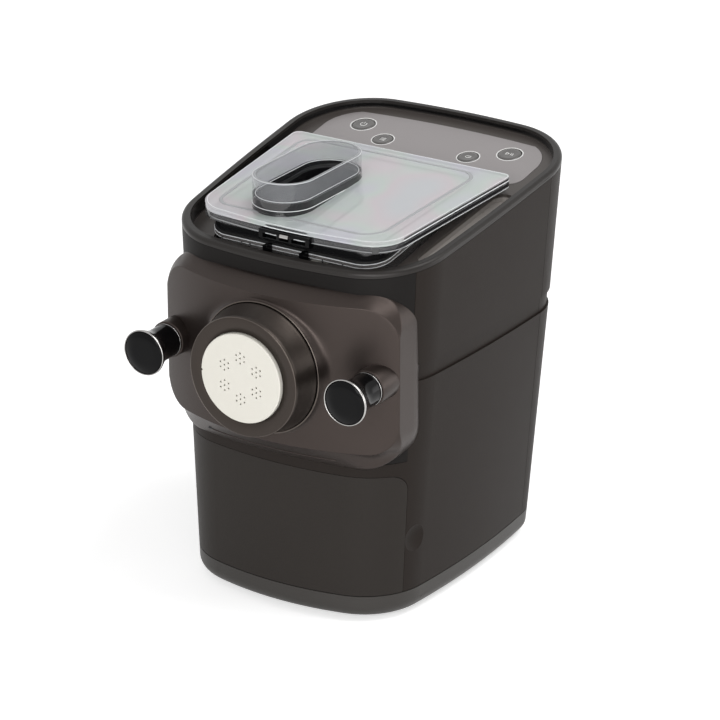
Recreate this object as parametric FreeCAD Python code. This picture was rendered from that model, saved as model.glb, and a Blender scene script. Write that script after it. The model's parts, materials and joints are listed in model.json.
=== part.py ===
"""Electric pasta maker, built as separate pieces.

Millimetres. +X is the machine's right, +Y its back and +Z up. The origin is on
the table, under the middle of the machine's bounding box.
"""
import FreeCAD, Part
import math
import os

V = FreeCAD.Vector

# Casing: outlines of the outer surface at its lower seam and above its top
SEAM_Z = 20.0
LEDGE_Z = 188.5
SKY_Z = 300.0
SEAM_OUTLINE = dict(front_y=-104.5, rear_y=112.0, front_half=84.0, rear_half=85.5,
                    front_r=48.0, rear_r=24.0, front_sag=17.0, side_sag=7.0, rear_sag=7.0)
SKY_OUTLINE = dict(front_y=-101.1, rear_y=143.8, front_half=100.3, rear_half=108.9,
                   front_r=53.0, rear_r=62.0, front_sag=10.0, side_sag=2.3, rear_sag=9.0)
WALL = 3.0
JOINT_GAP = 0.3
BASE_Z = 3.0
BASE_EDGE_R = 9.0
BASE_WALL = 2.5
BAND_H = 12.0
BAND_INSET = 1.5
FRONT_SEAM_Y = -73.0
REAR_SEAM_Y = 82.0
DRAWER_EDGE_Y = -72.0

# Sloping planes of the top, each as height at y = 0 and rise per millimetre of y
RIM_PLANE = (266.3, 0.14)
DECK_PLANE = (260.7, 0.17)
FLANGE_PLANE = (268.7, 0.15)
LID_PLANE = (278.6, 0.063)
RIM_LIP_H = 4.2
RIM_EDGE_R = 2.6
RIM_WIDTH = 6.0
DECK_T = 3.0
RECESS_DEPTH = 5.5
RECESS_WALL = 2.5

# Nozzle axis, shared by disc, tube, screw, paddle and drive shaft
AXIS_Z = 183.7
DISC_FACE_Y = -142.3
DISC_FACE_R = 31.5
DISC_FLANGE_R = 35.6
DISC_FLANGE_T = 3.4
NUT_FACE_Y = -139.5
NUT_FACE_R = 42.2
NUT_BACK_R = 45.5
NUT_LEN = 20.5
NUT_LIP_T = 2.0
THREAD_R = 36.0
HOLE_GROUPS = 6
HOLE_GROUP_PITCH_R = 14.6
HOLES_PER_RING = 6
HOLE_RING_R = 3.6
HOLE_R = 0.7
TUBE_BORE_R = 24.0
TUBE_SPIGOT_R = 26.0
TUBE_FLANGE_R = 40.0
TUBE_FLANGE_T = 4.0
SCREW_R = 23.4
SCREW_CORE_R = 8.0
SCREW_PITCH = 22.0
SCREW_FLIGHT_T = 4.0
FIT = 0.3

# Front panel
PANEL_BACK_Y = -66.0
PANEL_BACK_HALF = 90.7
PANEL_FLARE = 0.106
PANEL_LOW_Z = 115.5
PANEL_TOP_Z = 242.5
PANEL_CREASE_LOW_Z = 130.5
PANEL_CREASE_TOP_Z = 235.5
PANEL_CORNER_R = 28.0
PANEL_FACE_Y = -117.0
PANEL_BEND_R = 190.7
PANEL_BEVEL_DEEP = 14.0
PANEL_DEEP = 62.0
PANEL_SKIN = 3.5
PANEL_RIM = 8.0
LIP_REACH = 2.0
LIP_W = 1.8
LIP_ROOT_R = 50.0
LIP_ROOT_DEEP = 10.0

# Knobs
KNOB_X = 80.3
KNOB_FACE_Y = -140.4
KNOB_HEAD_R = 16.4
KNOB_RING_W = 1.3
KNOB_RING_T = 2.6
KNOB_NECK_R = 9.6
KNOB_FOOT_R = 11.0
KNOB_FOOT_Y = -112.0
SLEEVE_R = 12.8
STUD_R = 4.0
STUD_TIP_Y = -130.0

# Bowl
BOWL_WALL = 2.2
BOWL_R = 62.2
BOWL_TOP_HALF = 65.0
BOWL_FRONT_Y = -78.0
BOWL_REAR_Y = 47.0
BOWL_CORNER_R = 14.0
FLANGE_W = 4.0
FLANGE_T = 3.0
GASKET_T = 1.8
SEAL_R = 9.0

# Lid
LID_REAR_Y = 61.0
LID_FRONT_Y = -86.0
LID_HALF_MID = 83.1
LID_HALF_GAIN = 0.082
LID_FRONT_R = 24.0
LID_REAR_R = 5.0
LID_FRONT_SAG = 4.0
LID_T = 3.0
LID_LIP_H = 5.0
LID_LIP_T = 2.0
FUNNEL_X = -22.0
FUNNEL_Y = -26.0
FUNNEL_W = 45.0
FUNNEL_L = 99.0
FUNNEL_TOP_Z = 297.0
FUNNEL_LOW_Z = 268.0
FUNNEL_WALL = 2.2
HINGE_Y = 59.5
HINGE_Z = 275.5
HINGE_X = 57.0
LUG_R = 3.2
LUG_W = 8.0
HINGE_PIN_R = 1.5

# Latch
LATCH_HALF = 20.0
LATCH_Y = -87.5
LATCH_Z = 266.5
LATCH_PIN_R = 1.0
LATCH_PIN_BACK = 3.2
KEEPER_HALF = 14.5
EAR_W = 3.0

# Control panel and buttons
CONTROL_HALF = 87.3
CONTROL_FRONT_Y = 66.5
CONTROL_REAR_Y = 125.5
CONTROL_REAR_SAG = 5.0
CONTROL_REAR_R = 30.0
CONTROL_FRONT_R = 12.0
CONTROL_T = 1.2
BIG_BUTTON = dict(x=60.2, y=105.7, r=8.4)
SMALL_BUTTON = dict(x=35.0, y=91.3, r=7.3)
BUTTON_DOME = 0.7
BUTTON_STEM_R = 2.5
BUTTON_TRAVEL = 0.6
BOARD_T = 1.6

# Drawer
DRAWER_TOP_Z = 109.0
DRAWER_CORNER_R = 12.0
DRAWER_SKIN = 3.0
TRAY_HALF = 68.0
TRAY_REAR_Y = 44.0
TRAY_LOW_Z = 24.5
TRAY_TOP_Z = 101.0
TRAY_WALL = 1.8
BAY_WALL = 2.0
BAY_CLEAR = 2.0
BAY_FRONT_Y = -66.0
RUNNER_W = 6.0
SCOOP_R = 20.0
SCOOP_DEPTH = 5.0
SCOOP_Z = 58.0

# Chassis and drive
CHASSIS_FLOOR_T = 3.0
BULKHEAD_Y = 50.0
BULKHEAD_T = 3.0
BULKHEAD_HALF = 62.0
BULKHEAD_TOP_Z = 250.0
CRADLE_T = 3.0
GEAR_T = 6.5
GEAR_PLAY = 0.6
GEAR_MODULE = 1.5
OUTPUT_TEETH = 56
IDLER_SMALL_TEETH = 16
IDLER_LARGE_TEETH = 48
PINION_TEETH = 12
PLATE_T = 3.0
SHAFT_R = 6.0
SHAFT_PLAY = 0.05
AXLE_R = 4.0
BEARING_R = 11.0
BUSH_R = 7.0
MOTOR_R = 33.0
MOTOR_LEN = 30.0
MOTOR_SHAFT_R = 2.5
FAN_R = 28.0
FAN_T = 5.0

# Feet, load cells, electrics
FOOT_X = 56.0
FOOT_FRONT_Y = -60.0
FOOT_REAR_Y = 76.0
FOOT_R = 9.0
FOOT_STEM_R = 3.5
CELL_L = 34.0
CELL_W = 12.0
CELL_T = 3.0
INLET_X = -48.0
INLET_Z = 42.0
INLET_W = 30.0
INLET_H = 22.0
INLET_D = 16.0
INLET_SUNK = 1.5
SCREW_HEAD_R = 3.0
BASE_SCREW_INSET = 13.0
BASE_SCREW_YS = (-38.0, 62.0)
LID_SWITCH_OFF = 9.0
LID_SWITCH_W = 12.0


def box(x0, x1, y0, y1, z0, z1):
    """Box between two corners."""
    return Part.makeBox(x1 - x0, y1 - y0, z1 - z0, V(x0, y0, z0))


def rod_x(r, x0, x1, y, z):
    """Round bar along X."""
    return Part.makeCylinder(r, x1 - x0, V(x0, y, z), V(1, 0, 0))


def rod_y(r, y0, y1, x=0.0, z=AXIS_Z):
    """Round bar along Y, on the nozzle axis unless told otherwise."""
    return Part.makeCylinder(r, y1 - y0, V(x, y0, z), V(0, 1, 0))


def rod_z(r, z0, z1, x, y):
    """Upright round bar."""
    return Part.makeCylinder(r, z1 - z0, V(x, y, z0), V(0, 0, 1))


def ring_y(r_in, r_out, y0, y1, x=0.0, z=AXIS_Z):
    """Tube along Y."""
    return rod_y(r_out, y0, y1, x, z).cut(rod_y(r_in, y0 - 1, y1 + 1, x, z))


def join(shapes):
    """One solid from shapes that touch or overlap."""
    first = shapes[0]
    return first.fuse(list(shapes[1:])).removeSplitter() if len(shapes) > 1 else first


def group(shapes):
    """Separate solids that share a node."""
    return Part.makeCompound(list(shapes))


def both_sides(make):
    """What make(side) gives for the left, -1, and the right, +1."""
    return [make(-1), make(1)]


def height(plane, y):
    """Height of a sloping plane at y."""
    return plane[0] + plane[1] * y


def lifted(plane, dz):
    """The same plane, moved up by dz."""
    return (plane[0] + dz, plane[1])


def slab(low, high, y0=-200.0, y1=200.0, half=150.0):
    """Everything between two sloping planes."""
    corners = [V(-half, y0, height(low, y0)), V(-half, y1, height(low, y1)),
               V(-half, y1, height(high, y1)), V(-half, y0, height(high, y0))]
    return Part.Face(Part.makePolygon(corners + corners[:1])).extrude(V(2 * half, 0, 0))


def below(shape, plane):
    """The part of a shape under a sloping plane."""
    return shape.common(slab((-100.0, 0.0), plane))


def arc_circle(chord_half, sag):
    """Radius of the circle whose arc rises by sag over a chord."""
    return (chord_half ** 2 + sag ** 2) / (2 * sag)


def corner_centre(c1, r1, c2, r2, x_side):
    """Where two circles meet on the outer side, for a corner arc between two long arcs."""
    d = math.hypot(c2[0] - c1[0], c2[1] - c1[1])
    a = (r1 ** 2 - r2 ** 2 + d ** 2) / (2 * d)
    h = math.sqrt(r1 ** 2 - a ** 2)
    ux, uy = (c2[0] - c1[0]) / d, (c2[1] - c1[1]) / d
    mx, my = c1[0] + a * ux, c1[1] + a * uy
    first = (mx - h * uy, my + h * ux)
    second = (mx + h * uy, my - h * ux)
    return first if first[0] * x_side > second[0] * x_side else second


def outline_circles(p):
    """Centres and radii of the front, side and rear arcs and of the two corner arcs, right side."""
    rf = arc_circle(p["front_half"], p["front_sag"])
    rr = arc_circle(p["rear_half"], p["rear_sag"])
    ax, ay = p["front_half"], p["front_y"] + p["front_sag"]
    bx, by = p["rear_half"], p["rear_y"] - p["rear_sag"]
    half = math.hypot(bx - ax, by - ay) / 2
    rs = arc_circle(half, p["side_sag"])
    nx, ny = (by - ay) / (2 * half), -(bx - ax) / (2 * half)
    cs = ((ax + bx) / 2 - nx * (rs - p["side_sag"]), (ay + by) / 2 - ny * (rs - p["side_sag"]))
    cf = (0.0, p["front_y"] + rf)
    cr = (0.0, p["rear_y"] - rr)
    fillet_f = corner_centre(cf, rf - p["front_r"], cs, rs - p["front_r"], 1)
    fillet_r = corner_centre(cr, rr - p["rear_r"], cs, rs - p["rear_r"], 1)
    return dict(front=(cf, rf), side=(cs, rs), rear=(cr, rr),
                front_corner=(fillet_f, p["front_r"]), rear_corner=(fillet_r, p["rear_r"]))


def away(centre, through, r):
    """The point at distance r from a centre, in the direction of another point."""
    d = math.hypot(through[0] - centre[0], through[1] - centre[1])
    return (centre[0] + (through[0] - centre[0]) * r / d,
            centre[1] + (through[1] - centre[1]) * r / d)


def middle(centre, r, p, q):
    """The point of an arc halfway between p and q."""
    return away(centre, ((p[0] + q[0]) / 2, (p[1] + q[1]) / 2), r)


def outline_wire(p, z, inset=0.0):
    """Closed plan outline of eight tangent arcs at height z, moved inwards by inset."""
    c = outline_circles(p)
    (cf, rf), (cs, rs), (cr, rr) = c["front"], c["side"], c["rear"]
    (f, fr), (g, gr) = c["front_corner"], c["rear_corner"]
    rf, rs, rr, fr, gr = (value - inset for value in (rf, rs, rr, fr, gr))
    a = away(cf, f, rf)
    b = away(cs, f, rs)
    d = away(cs, g, rs)
    e = away(cr, g, rr)
    right = [(a, middle(f, fr, a, b), b), (b, middle(cs, rs, b, d), d), (d, middle(g, gr, d, e), e)]
    left = [tuple((-q[0], q[1]) for q in reversed(arc)) for arc in reversed(right)]
    arcs = ([((-a[0], a[1]), (0.0, cf[1] - rf), a)] + right
            + [(e, (0.0, cr[1] + rr), (-e[0], e[1]))] + left)
    edges = [Part.Arc(V(*s, z), V(*m, z), V(*t, z)).toShape() for s, m, t in arcs]
    return Part.Wire(edges)


def outline_at(z):
    """Outline values at a height, straight between the two given levels."""
    t = (z - SEAM_Z) / (SKY_Z - SEAM_Z)
    return {key: low + (SKY_OUTLINE[key] - low) * t for key, low in SEAM_OUTLINE.items()}


def envelope(inset, z0, z1):
    """Solid inside the casing's outer surface, moved inwards by inset."""
    return Part.makeLoft([outline_wire(outline_at(z), z, inset) for z in (z0, z1)], True, True)


def side_x(y, z):
    """Half width of the casing at a depth, where its long side arc runs."""
    (cx, cy), r = outline_circles(outline_at(z))["side"]
    return cx + math.sqrt(r ** 2 - (y - cy) ** 2)


def roof_z():
    """A level just over the rim's highest point."""
    return height(RIM_PLANE, SKY_OUTLINE["rear_y"]) + RIM_LIP_H + 5.0


def crown(inset, low, high):
    """The inside of the casing's top between two sloping planes, moved inwards by inset."""
    z0 = height(low, SKY_OUTLINE["front_y"]) - 10.0
    return envelope(inset, z0, roof_z()).common(slab(low, high))


def casing_wall(outer, inner, z0, z1):
    """Upright casing wall between two insets."""
    return envelope(outer, z0, z1).cut(envelope(inner, z0 - 1, z1 + 1))


def plan_rect(half, y0, y1, r_front, r_rear, z0, z1):
    """Upright block with a rounded rectangle as its plan."""
    pts = [(half, y0 + r_front), (half, y1 - r_rear), (half - r_rear, y1), (-half + r_rear, y1),
           (-half, y1 - r_rear), (-half, y0 + r_front), (-half + r_front, y0), (half - r_front, y0)]
    k = 1 - math.sqrt(0.5)
    mids = {1: (half - r_rear * k, y1 - r_rear * k), 3: (-half + r_rear * k, y1 - r_rear * k),
            5: (-half + r_front * k, y0 + r_front * k), 7: (half - r_front * k, y0 + r_front * k)}
    edges = []
    for i, p in enumerate(pts):
        q = pts[(i + 1) % len(pts)]
        a, b = V(*p, z0), V(*q, z0)
        edges.append(Part.Arc(a, V(*mids[i], z0), b).toShape() if i in mids
                     else Part.LineSegment(a, b).toShape())
    return Part.Face(Part.Wire(edges)).extrude(V(0, 0, z1 - z0))


def front_rect(half, z0, z1, r, y0, y1):
    """Block along Y with a rounded rectangle as its front view."""
    flat = plan_rect(half, z0, z1, r, r, 0.0, y1 - y0)
    flat.rotate(V(0, 0, 0), V(1, 0, 0), 90)
    flat.translate(V(0, y1, 0))
    return flat


def revolved_y(points, x=0.0, z=AXIS_Z):
    """Turned solid: points are (radius, y) in order, turned about a line along Y."""
    corners = [V(x + r, y, z) for r, y in points]
    face = Part.Face(Part.makePolygon(corners + corners[:1]))
    return face.revolve(V(x, 0, z), V(0, 1, 0), 360)


# Casing

def base_pan():
    """Tray under the machine, its lower edge rounded."""
    outer = envelope(0.0, BASE_Z, SEAM_Z - JOINT_GAP)
    bottom = [e for e in outer.Edges if all(abs(v.Z - BASE_Z) < 1e-6 for v in e.Vertexes)]
    outer = outer.makeFillet(BASE_EDGE_R, bottom)
    hollow = envelope(BASE_EDGE_R, BASE_Z + BASE_WALL, SEAM_Z + 1)
    wide = envelope(BASE_WALL, BASE_Z + BASE_EDGE_R, SEAM_Z + 1)
    pan = outer.cut(hollow).cut(wide)
    for x, y in foot_places():
        pan = pan.cut(rod_z(FOOT_STEM_R + FIT, 0, BASE_Z + BASE_WALL + 1, x, y))
    for x, y in base_screw_places():
        pan = pan.fuse(rod_z(SCREW_HEAD_R + 2.5, BASE_Z + BASE_WALL, SEAM_Z - JOINT_GAP, x, y))
        pan = pan.cut(rod_z(1.6, 0, SEAM_Z, x, y)).cut(rod_z(SCREW_HEAD_R + FIT, 0, 8.0, x, y))
    return pan.removeSplitter()


def foot_places():
    """Plan places of the four feet."""
    return [(s * FOOT_X, y) for s in (-1, 1) for y in (FOOT_FRONT_Y, FOOT_REAR_Y)]


def base_screw_places():
    """Plan places of the screws that hold the base pan."""
    return [(s * (side_x(y, SEAM_Z) - BASE_SCREW_INSET), y) for s in (-1, 1) for y in BASE_SCREW_YS]


def rubber_feet():
    """Four feet, each with a stem through the pan's floor."""
    top = BASE_Z + BASE_WALL + FIT
    return group(rod_z(FOOT_R, 0, BASE_Z, x, y).fuse(rod_z(FOOT_STEM_R, BASE_Z - 0.5, top, x, y))
                 for x, y in foot_places())


def load_cells():
    """Four weighing beams, one resting on each foot's stem."""
    low = BASE_Z + BASE_WALL + FIT
    return group(box(x - CELL_W / 2, x + CELL_W / 2, y - CELL_L / 2, y + CELL_L / 2, low, low + CELL_T)
                 for x, y in foot_places())


def base_screws():
    """Four screws from below into the lower shell's posts."""
    return group(rod_z(SCREW_HEAD_R, 5.0, 7.7, x, y).fuse(rod_z(1.3, 7.0, SEAM_Z + 8.0, x, y))
                 for x, y in base_screw_places())


def drawer_outline(gap):
    """Side view of the drawer front's space: a block with a rounded upper rear corner."""
    y1, z1, r = DRAWER_EDGE_Y + gap, DRAWER_TOP_Z + gap, DRAWER_CORNER_R
    k = r * (1 - math.sqrt(0.5))
    x0 = -150.0
    a, b, c = V(x0, -150, 0), V(x0, y1, 0), V(x0, y1, z1 - r)
    d, e, mid = V(x0, y1 - r, z1), V(x0, -150, z1), V(x0, y1 - k, z1 - k)
    edges = [Part.LineSegment(a, b).toShape(), Part.LineSegment(b, c).toShape(),
             Part.Arc(c, mid, d).toShape(), Part.LineSegment(d, e).toShape(),
             Part.LineSegment(e, a).toShape()]
    return Part.Face(Part.Wire(edges)).extrude(V(-2 * x0, 0, 0))


def lower_wall():
    """Whole lower casing wall with the inset band at its top, before it is divided."""
    band_z = LEDGE_Z - BAND_H
    main = casing_wall(0.0, WALL, SEAM_Z + JOINT_GAP, band_z)
    band = casing_wall(BAND_INSET, BAND_INSET + WALL, band_z, LEDGE_Z - JOINT_GAP)
    return join([main, band])


def rear_zone(gap):
    """Space behind the rear seam."""
    return box(-150, 150, REAR_SEAM_Y + gap, 250, 0, 400)


def behind_panel():
    """Space of the front frame, behind the front panel."""
    return box(-150, 150, -200, FRONT_SEAM_Y, PANEL_LOW_Z + FIT * 10, 400)


def lower_shell(wall):
    """Sides of the lower casing and the strip over the drawer."""
    shell = wall.cut(drawer_outline(JOINT_GAP)).cut(behind_panel())
    shell = shell.cut(rear_zone(0.0))
    outer = envelope(WALL - 0.5, SCOOP_Z - 22, SCOOP_Z + 22)
    pads = outer.cut(envelope(SCOOP_DEPTH + 2.5, SCOOP_Z - 23, SCOOP_Z + 23))
    pads = pads.common(box(-150, 150, DRAWER_EDGE_Y + JOINT_GAP, DRAWER_EDGE_Y + 32, 0, 200))
    posts = [rod_z(4.0, SEAM_Z + JOINT_GAP, SEAM_Z + 14, x, y)
             .fuse(box(min(x, x + s * BASE_SCREW_INSET), max(x, x + s * BASE_SCREW_INSET), y - 1.2, y + 1.2,
                       SEAM_Z + JOINT_GAP, SEAM_Z + 14))
             for x, y in base_screw_places() for s in [math.copysign(1, x)]]
    inside = envelope(WALL - 0.5, SEAM_Z + JOINT_GAP, SEAM_Z + 30)
    shell = shell.fuse([pads] + [post.common(inside) for post in posts])
    for x, y in base_screw_places():
        shell = shell.cut(rod_z(1.4, 0, SEAM_Z + 9, x, y))
    for side in (-1, 1):
        ball_x = scoop_surface_x() + SCOOP_R - SCOOP_DEPTH
        ball = Part.makeSphere(SCOOP_R, V(side * ball_x, DRAWER_EDGE_Y + 3, SCOOP_Z))
        shell = shell.cut(ball)
    return shell.removeSplitter()


def scoop_surface_x():
    """Half width of the casing beside the drawer's edge, at the scoop's height."""
    face = envelope(0.0, SCOOP_Z, SCOOP_Z + 1)
    cut = face.common(box(0, 150, DRAWER_EDGE_Y, DRAWER_EDGE_Y + 1, SCOOP_Z, SCOOP_Z + 1))
    return cut.BoundBox.XMax


def upper_wall():
    """Whole upper casing wall under the rim, before it is divided."""
    wall = casing_wall(0.0, WALL, LEDGE_Z, roof_z())
    return below(wall, lifted(RIM_PLANE, -JOINT_GAP))


def side_panel(wall, side):
    """Upper side panel between the front frame and the rear cover."""
    x0, x1 = (0, 150) if side > 0 else (-150, 0)
    return wall.common(box(x0, x1, FRONT_SEAM_Y + JOINT_GAP, 150, 0, 400)).cut(rear_zone(0.0))


def front_frame():
    """Dark wall behind the front panel, open round the nozzle, with seats for the studs."""
    wall = casing_wall(0.0, WALL, PANEL_LOW_Z + FIT * 11, roof_z())
    wall = below(wall, lifted(RIM_PLANE, -JOINT_GAP))
    zone = box(-150, 150, -200, FRONT_SEAM_Y, 0, 400)
    inside = envelope(WALL - 0.5, AXIS_Z - 20, AXIS_Z + 20).common(zone)
    seats = both_sides(lambda s: rod_y(9.0, -100, FRONT_SEAM_Y, s * KNOB_X).common(inside))
    frame = wall.common(zone).fuse(seats)
    frame = frame.cut(rod_y(TUBE_FLANGE_R - 3.5, -150, -60))
    for side in (-1, 1):
        frame = frame.cut(rod_y(STUD_R, -150, -60, side * KNOB_X))
    return frame.removeSplitter()


def rear_cover(lower, upper):
    """Back of the casing from the base to the rim, with vents and the inlet's window."""
    zone = rear_zone(JOINT_GAP)
    bridge = casing_wall(BAND_INSET + 0.5, WALL - 0.5, LEDGE_Z - 4, LEDGE_Z + 4)
    cover = join([shape.common(zone) for shape in (lower, upper, bridge)])
    for x in range(-4, 5):
        for z in (88.0, 128.0):
            cover = cover.cut(box(x * 9.0 - 1.6, x * 9.0 + 1.6, 95, 160, z, z + 30))
    window = box(INLET_X - INLET_W / 2, INLET_X + INLET_W / 2, 90, 160,
                 INLET_Z - INLET_H / 2, INLET_Z + INLET_H / 2)
    return cover.cut(window)


# Top

def deck_hole():
    """Plan of the deck's opening for the bowl."""
    grow = FLANGE_W + 1.0
    return plan_rect(BOWL_TOP_HALF + grow, BOWL_FRONT_Y - grow, BOWL_REAR_Y + grow,
                     BOWL_CORNER_R + grow, BOWL_CORNER_R + grow, 200, 330)


def side_recess(side, grow, depth):
    """Finger recess in the deck beside the lid."""
    half = 8.5 + grow
    block = plan_rect(half, -48.0 - grow, 55.0 + grow, half - 0.5, half - 0.5, 200, 330)
    block.rotate(V(0, 0, 0), V(0, 0, 1), -3.0 * side)
    block.translate(V(side * 86.5, 0, 0))
    return block.common(slab(lifted(DECK_PLANE, -depth), lifted(DECK_PLANE, 30)))


def top_frame():
    """Rim, inner wall and sloping deck in one moulding."""
    lip = crown(0.0, RIM_PLANE, lifted(RIM_PLANE, RIM_LIP_H))
    top_edges = [e for e in lip.Edges if all(
        abs(v.Z - height(RIM_PLANE, v.Y) - RIM_LIP_H) < 1e-3 for v in e.Vertexes)]
    lip = lip.makeFillet(RIM_EDGE_R, top_edges)
    skirt = crown(WALL + FIT, lifted(DECK_PLANE, -DECK_T), RIM_PLANE)
    pocket = crown(RIM_WIDTH, DECK_PLANE, lifted(RIM_PLANE, RIM_LIP_H + 1.0))
    inside = crown(WALL + FIT, lifted(DECK_PLANE, -RECESS_DEPTH - RECESS_WALL), DECK_PLANE)
    pads = both_sides(lambda s: side_recess(s, RECESS_WALL, RECESS_DEPTH + RECESS_WALL).common(inside))
    frame = lip.fuse(skirt).cut(pocket).fuse(pads)
    frame = frame.cut(deck_hole())
    for side in (-1, 1):
        frame = frame.cut(side_recess(side, 0.0, RECESS_DEPTH))
    frame = frame.fuse(hinge_ears())
    frame = frame.cut(control_plate(FIT, lifted(DECK_PLANE, -CONTROL_T), lifted(DECK_PLANE, 5)))
    for spot, side in button_spots():
        frame = frame.cut(rod_z(BUTTON_STEM_R + FIT, 200, 320, side * spot["x"], spot["y"]))
        frame = frame.cut(button_disc(spot, side, FIT, lifted(DECK_PLANE, -CONTROL_T - 1.6),
                                      lifted(DECK_PLANE, 1)))
    frame = frame.cut(rod_x(HINGE_PIN_R + 0.1, -100, 100, HINGE_Y, HINGE_Z))
    return frame.removeSplitter()


def hinge_ears():
    """Two pairs of ears that carry the lid's pins."""
    ears = []
    for side in (-1, 1):
        for off in (-1, 1):
            x = side * HINGE_X + off * (LUG_W / 2 + FIT + 1.5)
            foot_z = height(DECK_PLANE, HINGE_Y) - 1.0
            ear = rod_x(LUG_R, x - 1.5, x + 1.5, HINGE_Y, HINGE_Z)
            ears.append(ear.fuse(box(x - 1.5, x + 1.5, HINGE_Y - LUG_R, HINGE_Y + LUG_R, foot_z, HINGE_Z)))
    return ears


def hinge_pins():
    """Steel pins of the lid hinge."""
    reach = LUG_W / 2 + FIT + 3.0
    return group(rod_x(HINGE_PIN_R, s * HINGE_X - reach, s * HINGE_X + reach, HINGE_Y, HINGE_Z)
                 for s in (-1, 1))


def control_plate(gap, low, high):
    """Plan shape of the control panel, grown by gap, between two planes."""
    half, y0, y1 = CONTROL_HALF + gap, CONTROL_FRONT_Y - gap, CONTROL_REAR_Y + gap
    block = plan_rect(half, y0, y1, CONTROL_FRONT_R + gap, CONTROL_REAR_R + gap, 200, 330)
    bend_r = arc_circle(half, CONTROL_REAR_SAG)
    block = block.common(rod_z(bend_r + gap, 199, 331, 0, CONTROL_REAR_Y - bend_r))
    return block.common(slab(low, high))


def control_panel():
    """Thin satin panel that carries the four buttons."""
    plate = control_plate(0.0, lifted(DECK_PLANE, -CONTROL_T + 0.2), lifted(DECK_PLANE, 0.2))
    for spot, side in button_spots():
        plate = plate.cut(rod_z(spot["r"] + FIT, 200, 330, side * spot["x"], spot["y"]))
    return plate


def button_spots():
    """Each button's place and side."""
    return [(BIG_BUTTON, -1), (SMALL_BUTTON, -1), (SMALL_BUTTON, 1), (BIG_BUTTON, 1)]


def button_disc(spot, side, gap, low, high):
    """Round block at a button's place, between two planes."""
    return rod_z(spot["r"] + gap, 200, 330, side * spot["x"], spot["y"]).common(slab(low, high))


def button(spot, side):
    """Button cap with a shallow dome and a stem down to its switch."""
    cap = button_disc(spot, side, 0.0, lifted(DECK_PLANE, -CONTROL_T + 0.1), lifted(DECK_PLANE, BUTTON_DOME))
    stem_low = height(DECK_PLANE, spot["y"]) - DECK_T - 3.0
    stem = rod_z(BUTTON_STEM_R, stem_low, height(DECK_PLANE, spot["y"]), side * spot["x"], spot["y"])
    return cap.fuse(stem).removeSplitter()


def switch_board():
    """Board under the deck with one push switch for each button."""
    low = lifted(DECK_PLANE, -DECK_T - 9.0)
    board = plan_rect(70.0, 80.0, 116.0, 3.0, 3.0, 200, 330).common(slab(low, lifted(low, BOARD_T)))
    pieces = [board]
    for spot, side in button_spots():
        top = height(DECK_PLANE, spot["y"]) - DECK_T - 3.0 - BUTTON_TRAVEL - 0.2
        pieces.append(box(side * spot["x"] - 3, side * spot["x"] + 3, spot["y"] - 3, spot["y"] + 3,
                          height(low, spot["y"]), top))
    posts = [rod_z(3.0, height(low, y) + 1.0, height(DECK_PLANE, y), x, y)
             .common(slab(low, lifted(DECK_PLANE, -DECK_T))) for x in (-16.0, 16.0) for y in (88.0, 108.0)]
    return join(pieces + posts)


# Lid

def lid_plan(inset, z0, z1):
    """Lid outline: narrower to the front, front edge bowed, corners rounded."""
    y0, y1 = LID_FRONT_Y + LID_FRONT_SAG + inset, LID_REAR_Y - inset
    hf = LID_HALF_MID + LID_HALF_GAIN * y0 - inset
    hr = LID_HALF_MID + LID_HALF_GAIN * y1 - inset
    pts = [V(-hf, y0, z0), V(hf, y0, z0), V(hr, y1, z0), V(-hr, y1, z0)]
    front = Part.Arc(pts[0], V(0, LID_FRONT_Y + inset, z0), pts[1]).toShape()
    sides = [Part.LineSegment(pts[i], pts[(i + 1) % 4]).toShape() for i in (1, 2, 3)]
    block = Part.Face(Part.Wire([front] + sides)).extrude(V(0, 0, z1 - z0))
    upright = [e for e in block.Edges if abs(e.Vertexes[0].Z - e.Vertexes[-1].Z) > 1]
    front_edges = [e for e in upright if e.Vertexes[0].Y < 0]
    rear_edges = [e for e in upright if e.Vertexes[0].Y > 0]
    block = block.makeFillet(LID_FRONT_R - inset * 0.5, front_edges)
    rear_edges = [e for e in block.Edges if abs(e.Vertexes[0].Z - e.Vertexes[-1].Z) > 1
                  and e.Vertexes[0].Y > y1 - 1 and abs(abs(e.Vertexes[0].X) - hr) < 1]
    return block.makeFillet(LID_REAR_R, rear_edges)


def stadium(width, length, z0, z1):
    """Upright block with two round ends at the funnel's place."""
    block = plan_rect(width / 2, -length / 2, length / 2, width / 2 - 0.01, width / 2 - 0.01, z0, z1)
    block.translate(V(FUNNEL_X, FUNNEL_Y, 0))
    return block


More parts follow.
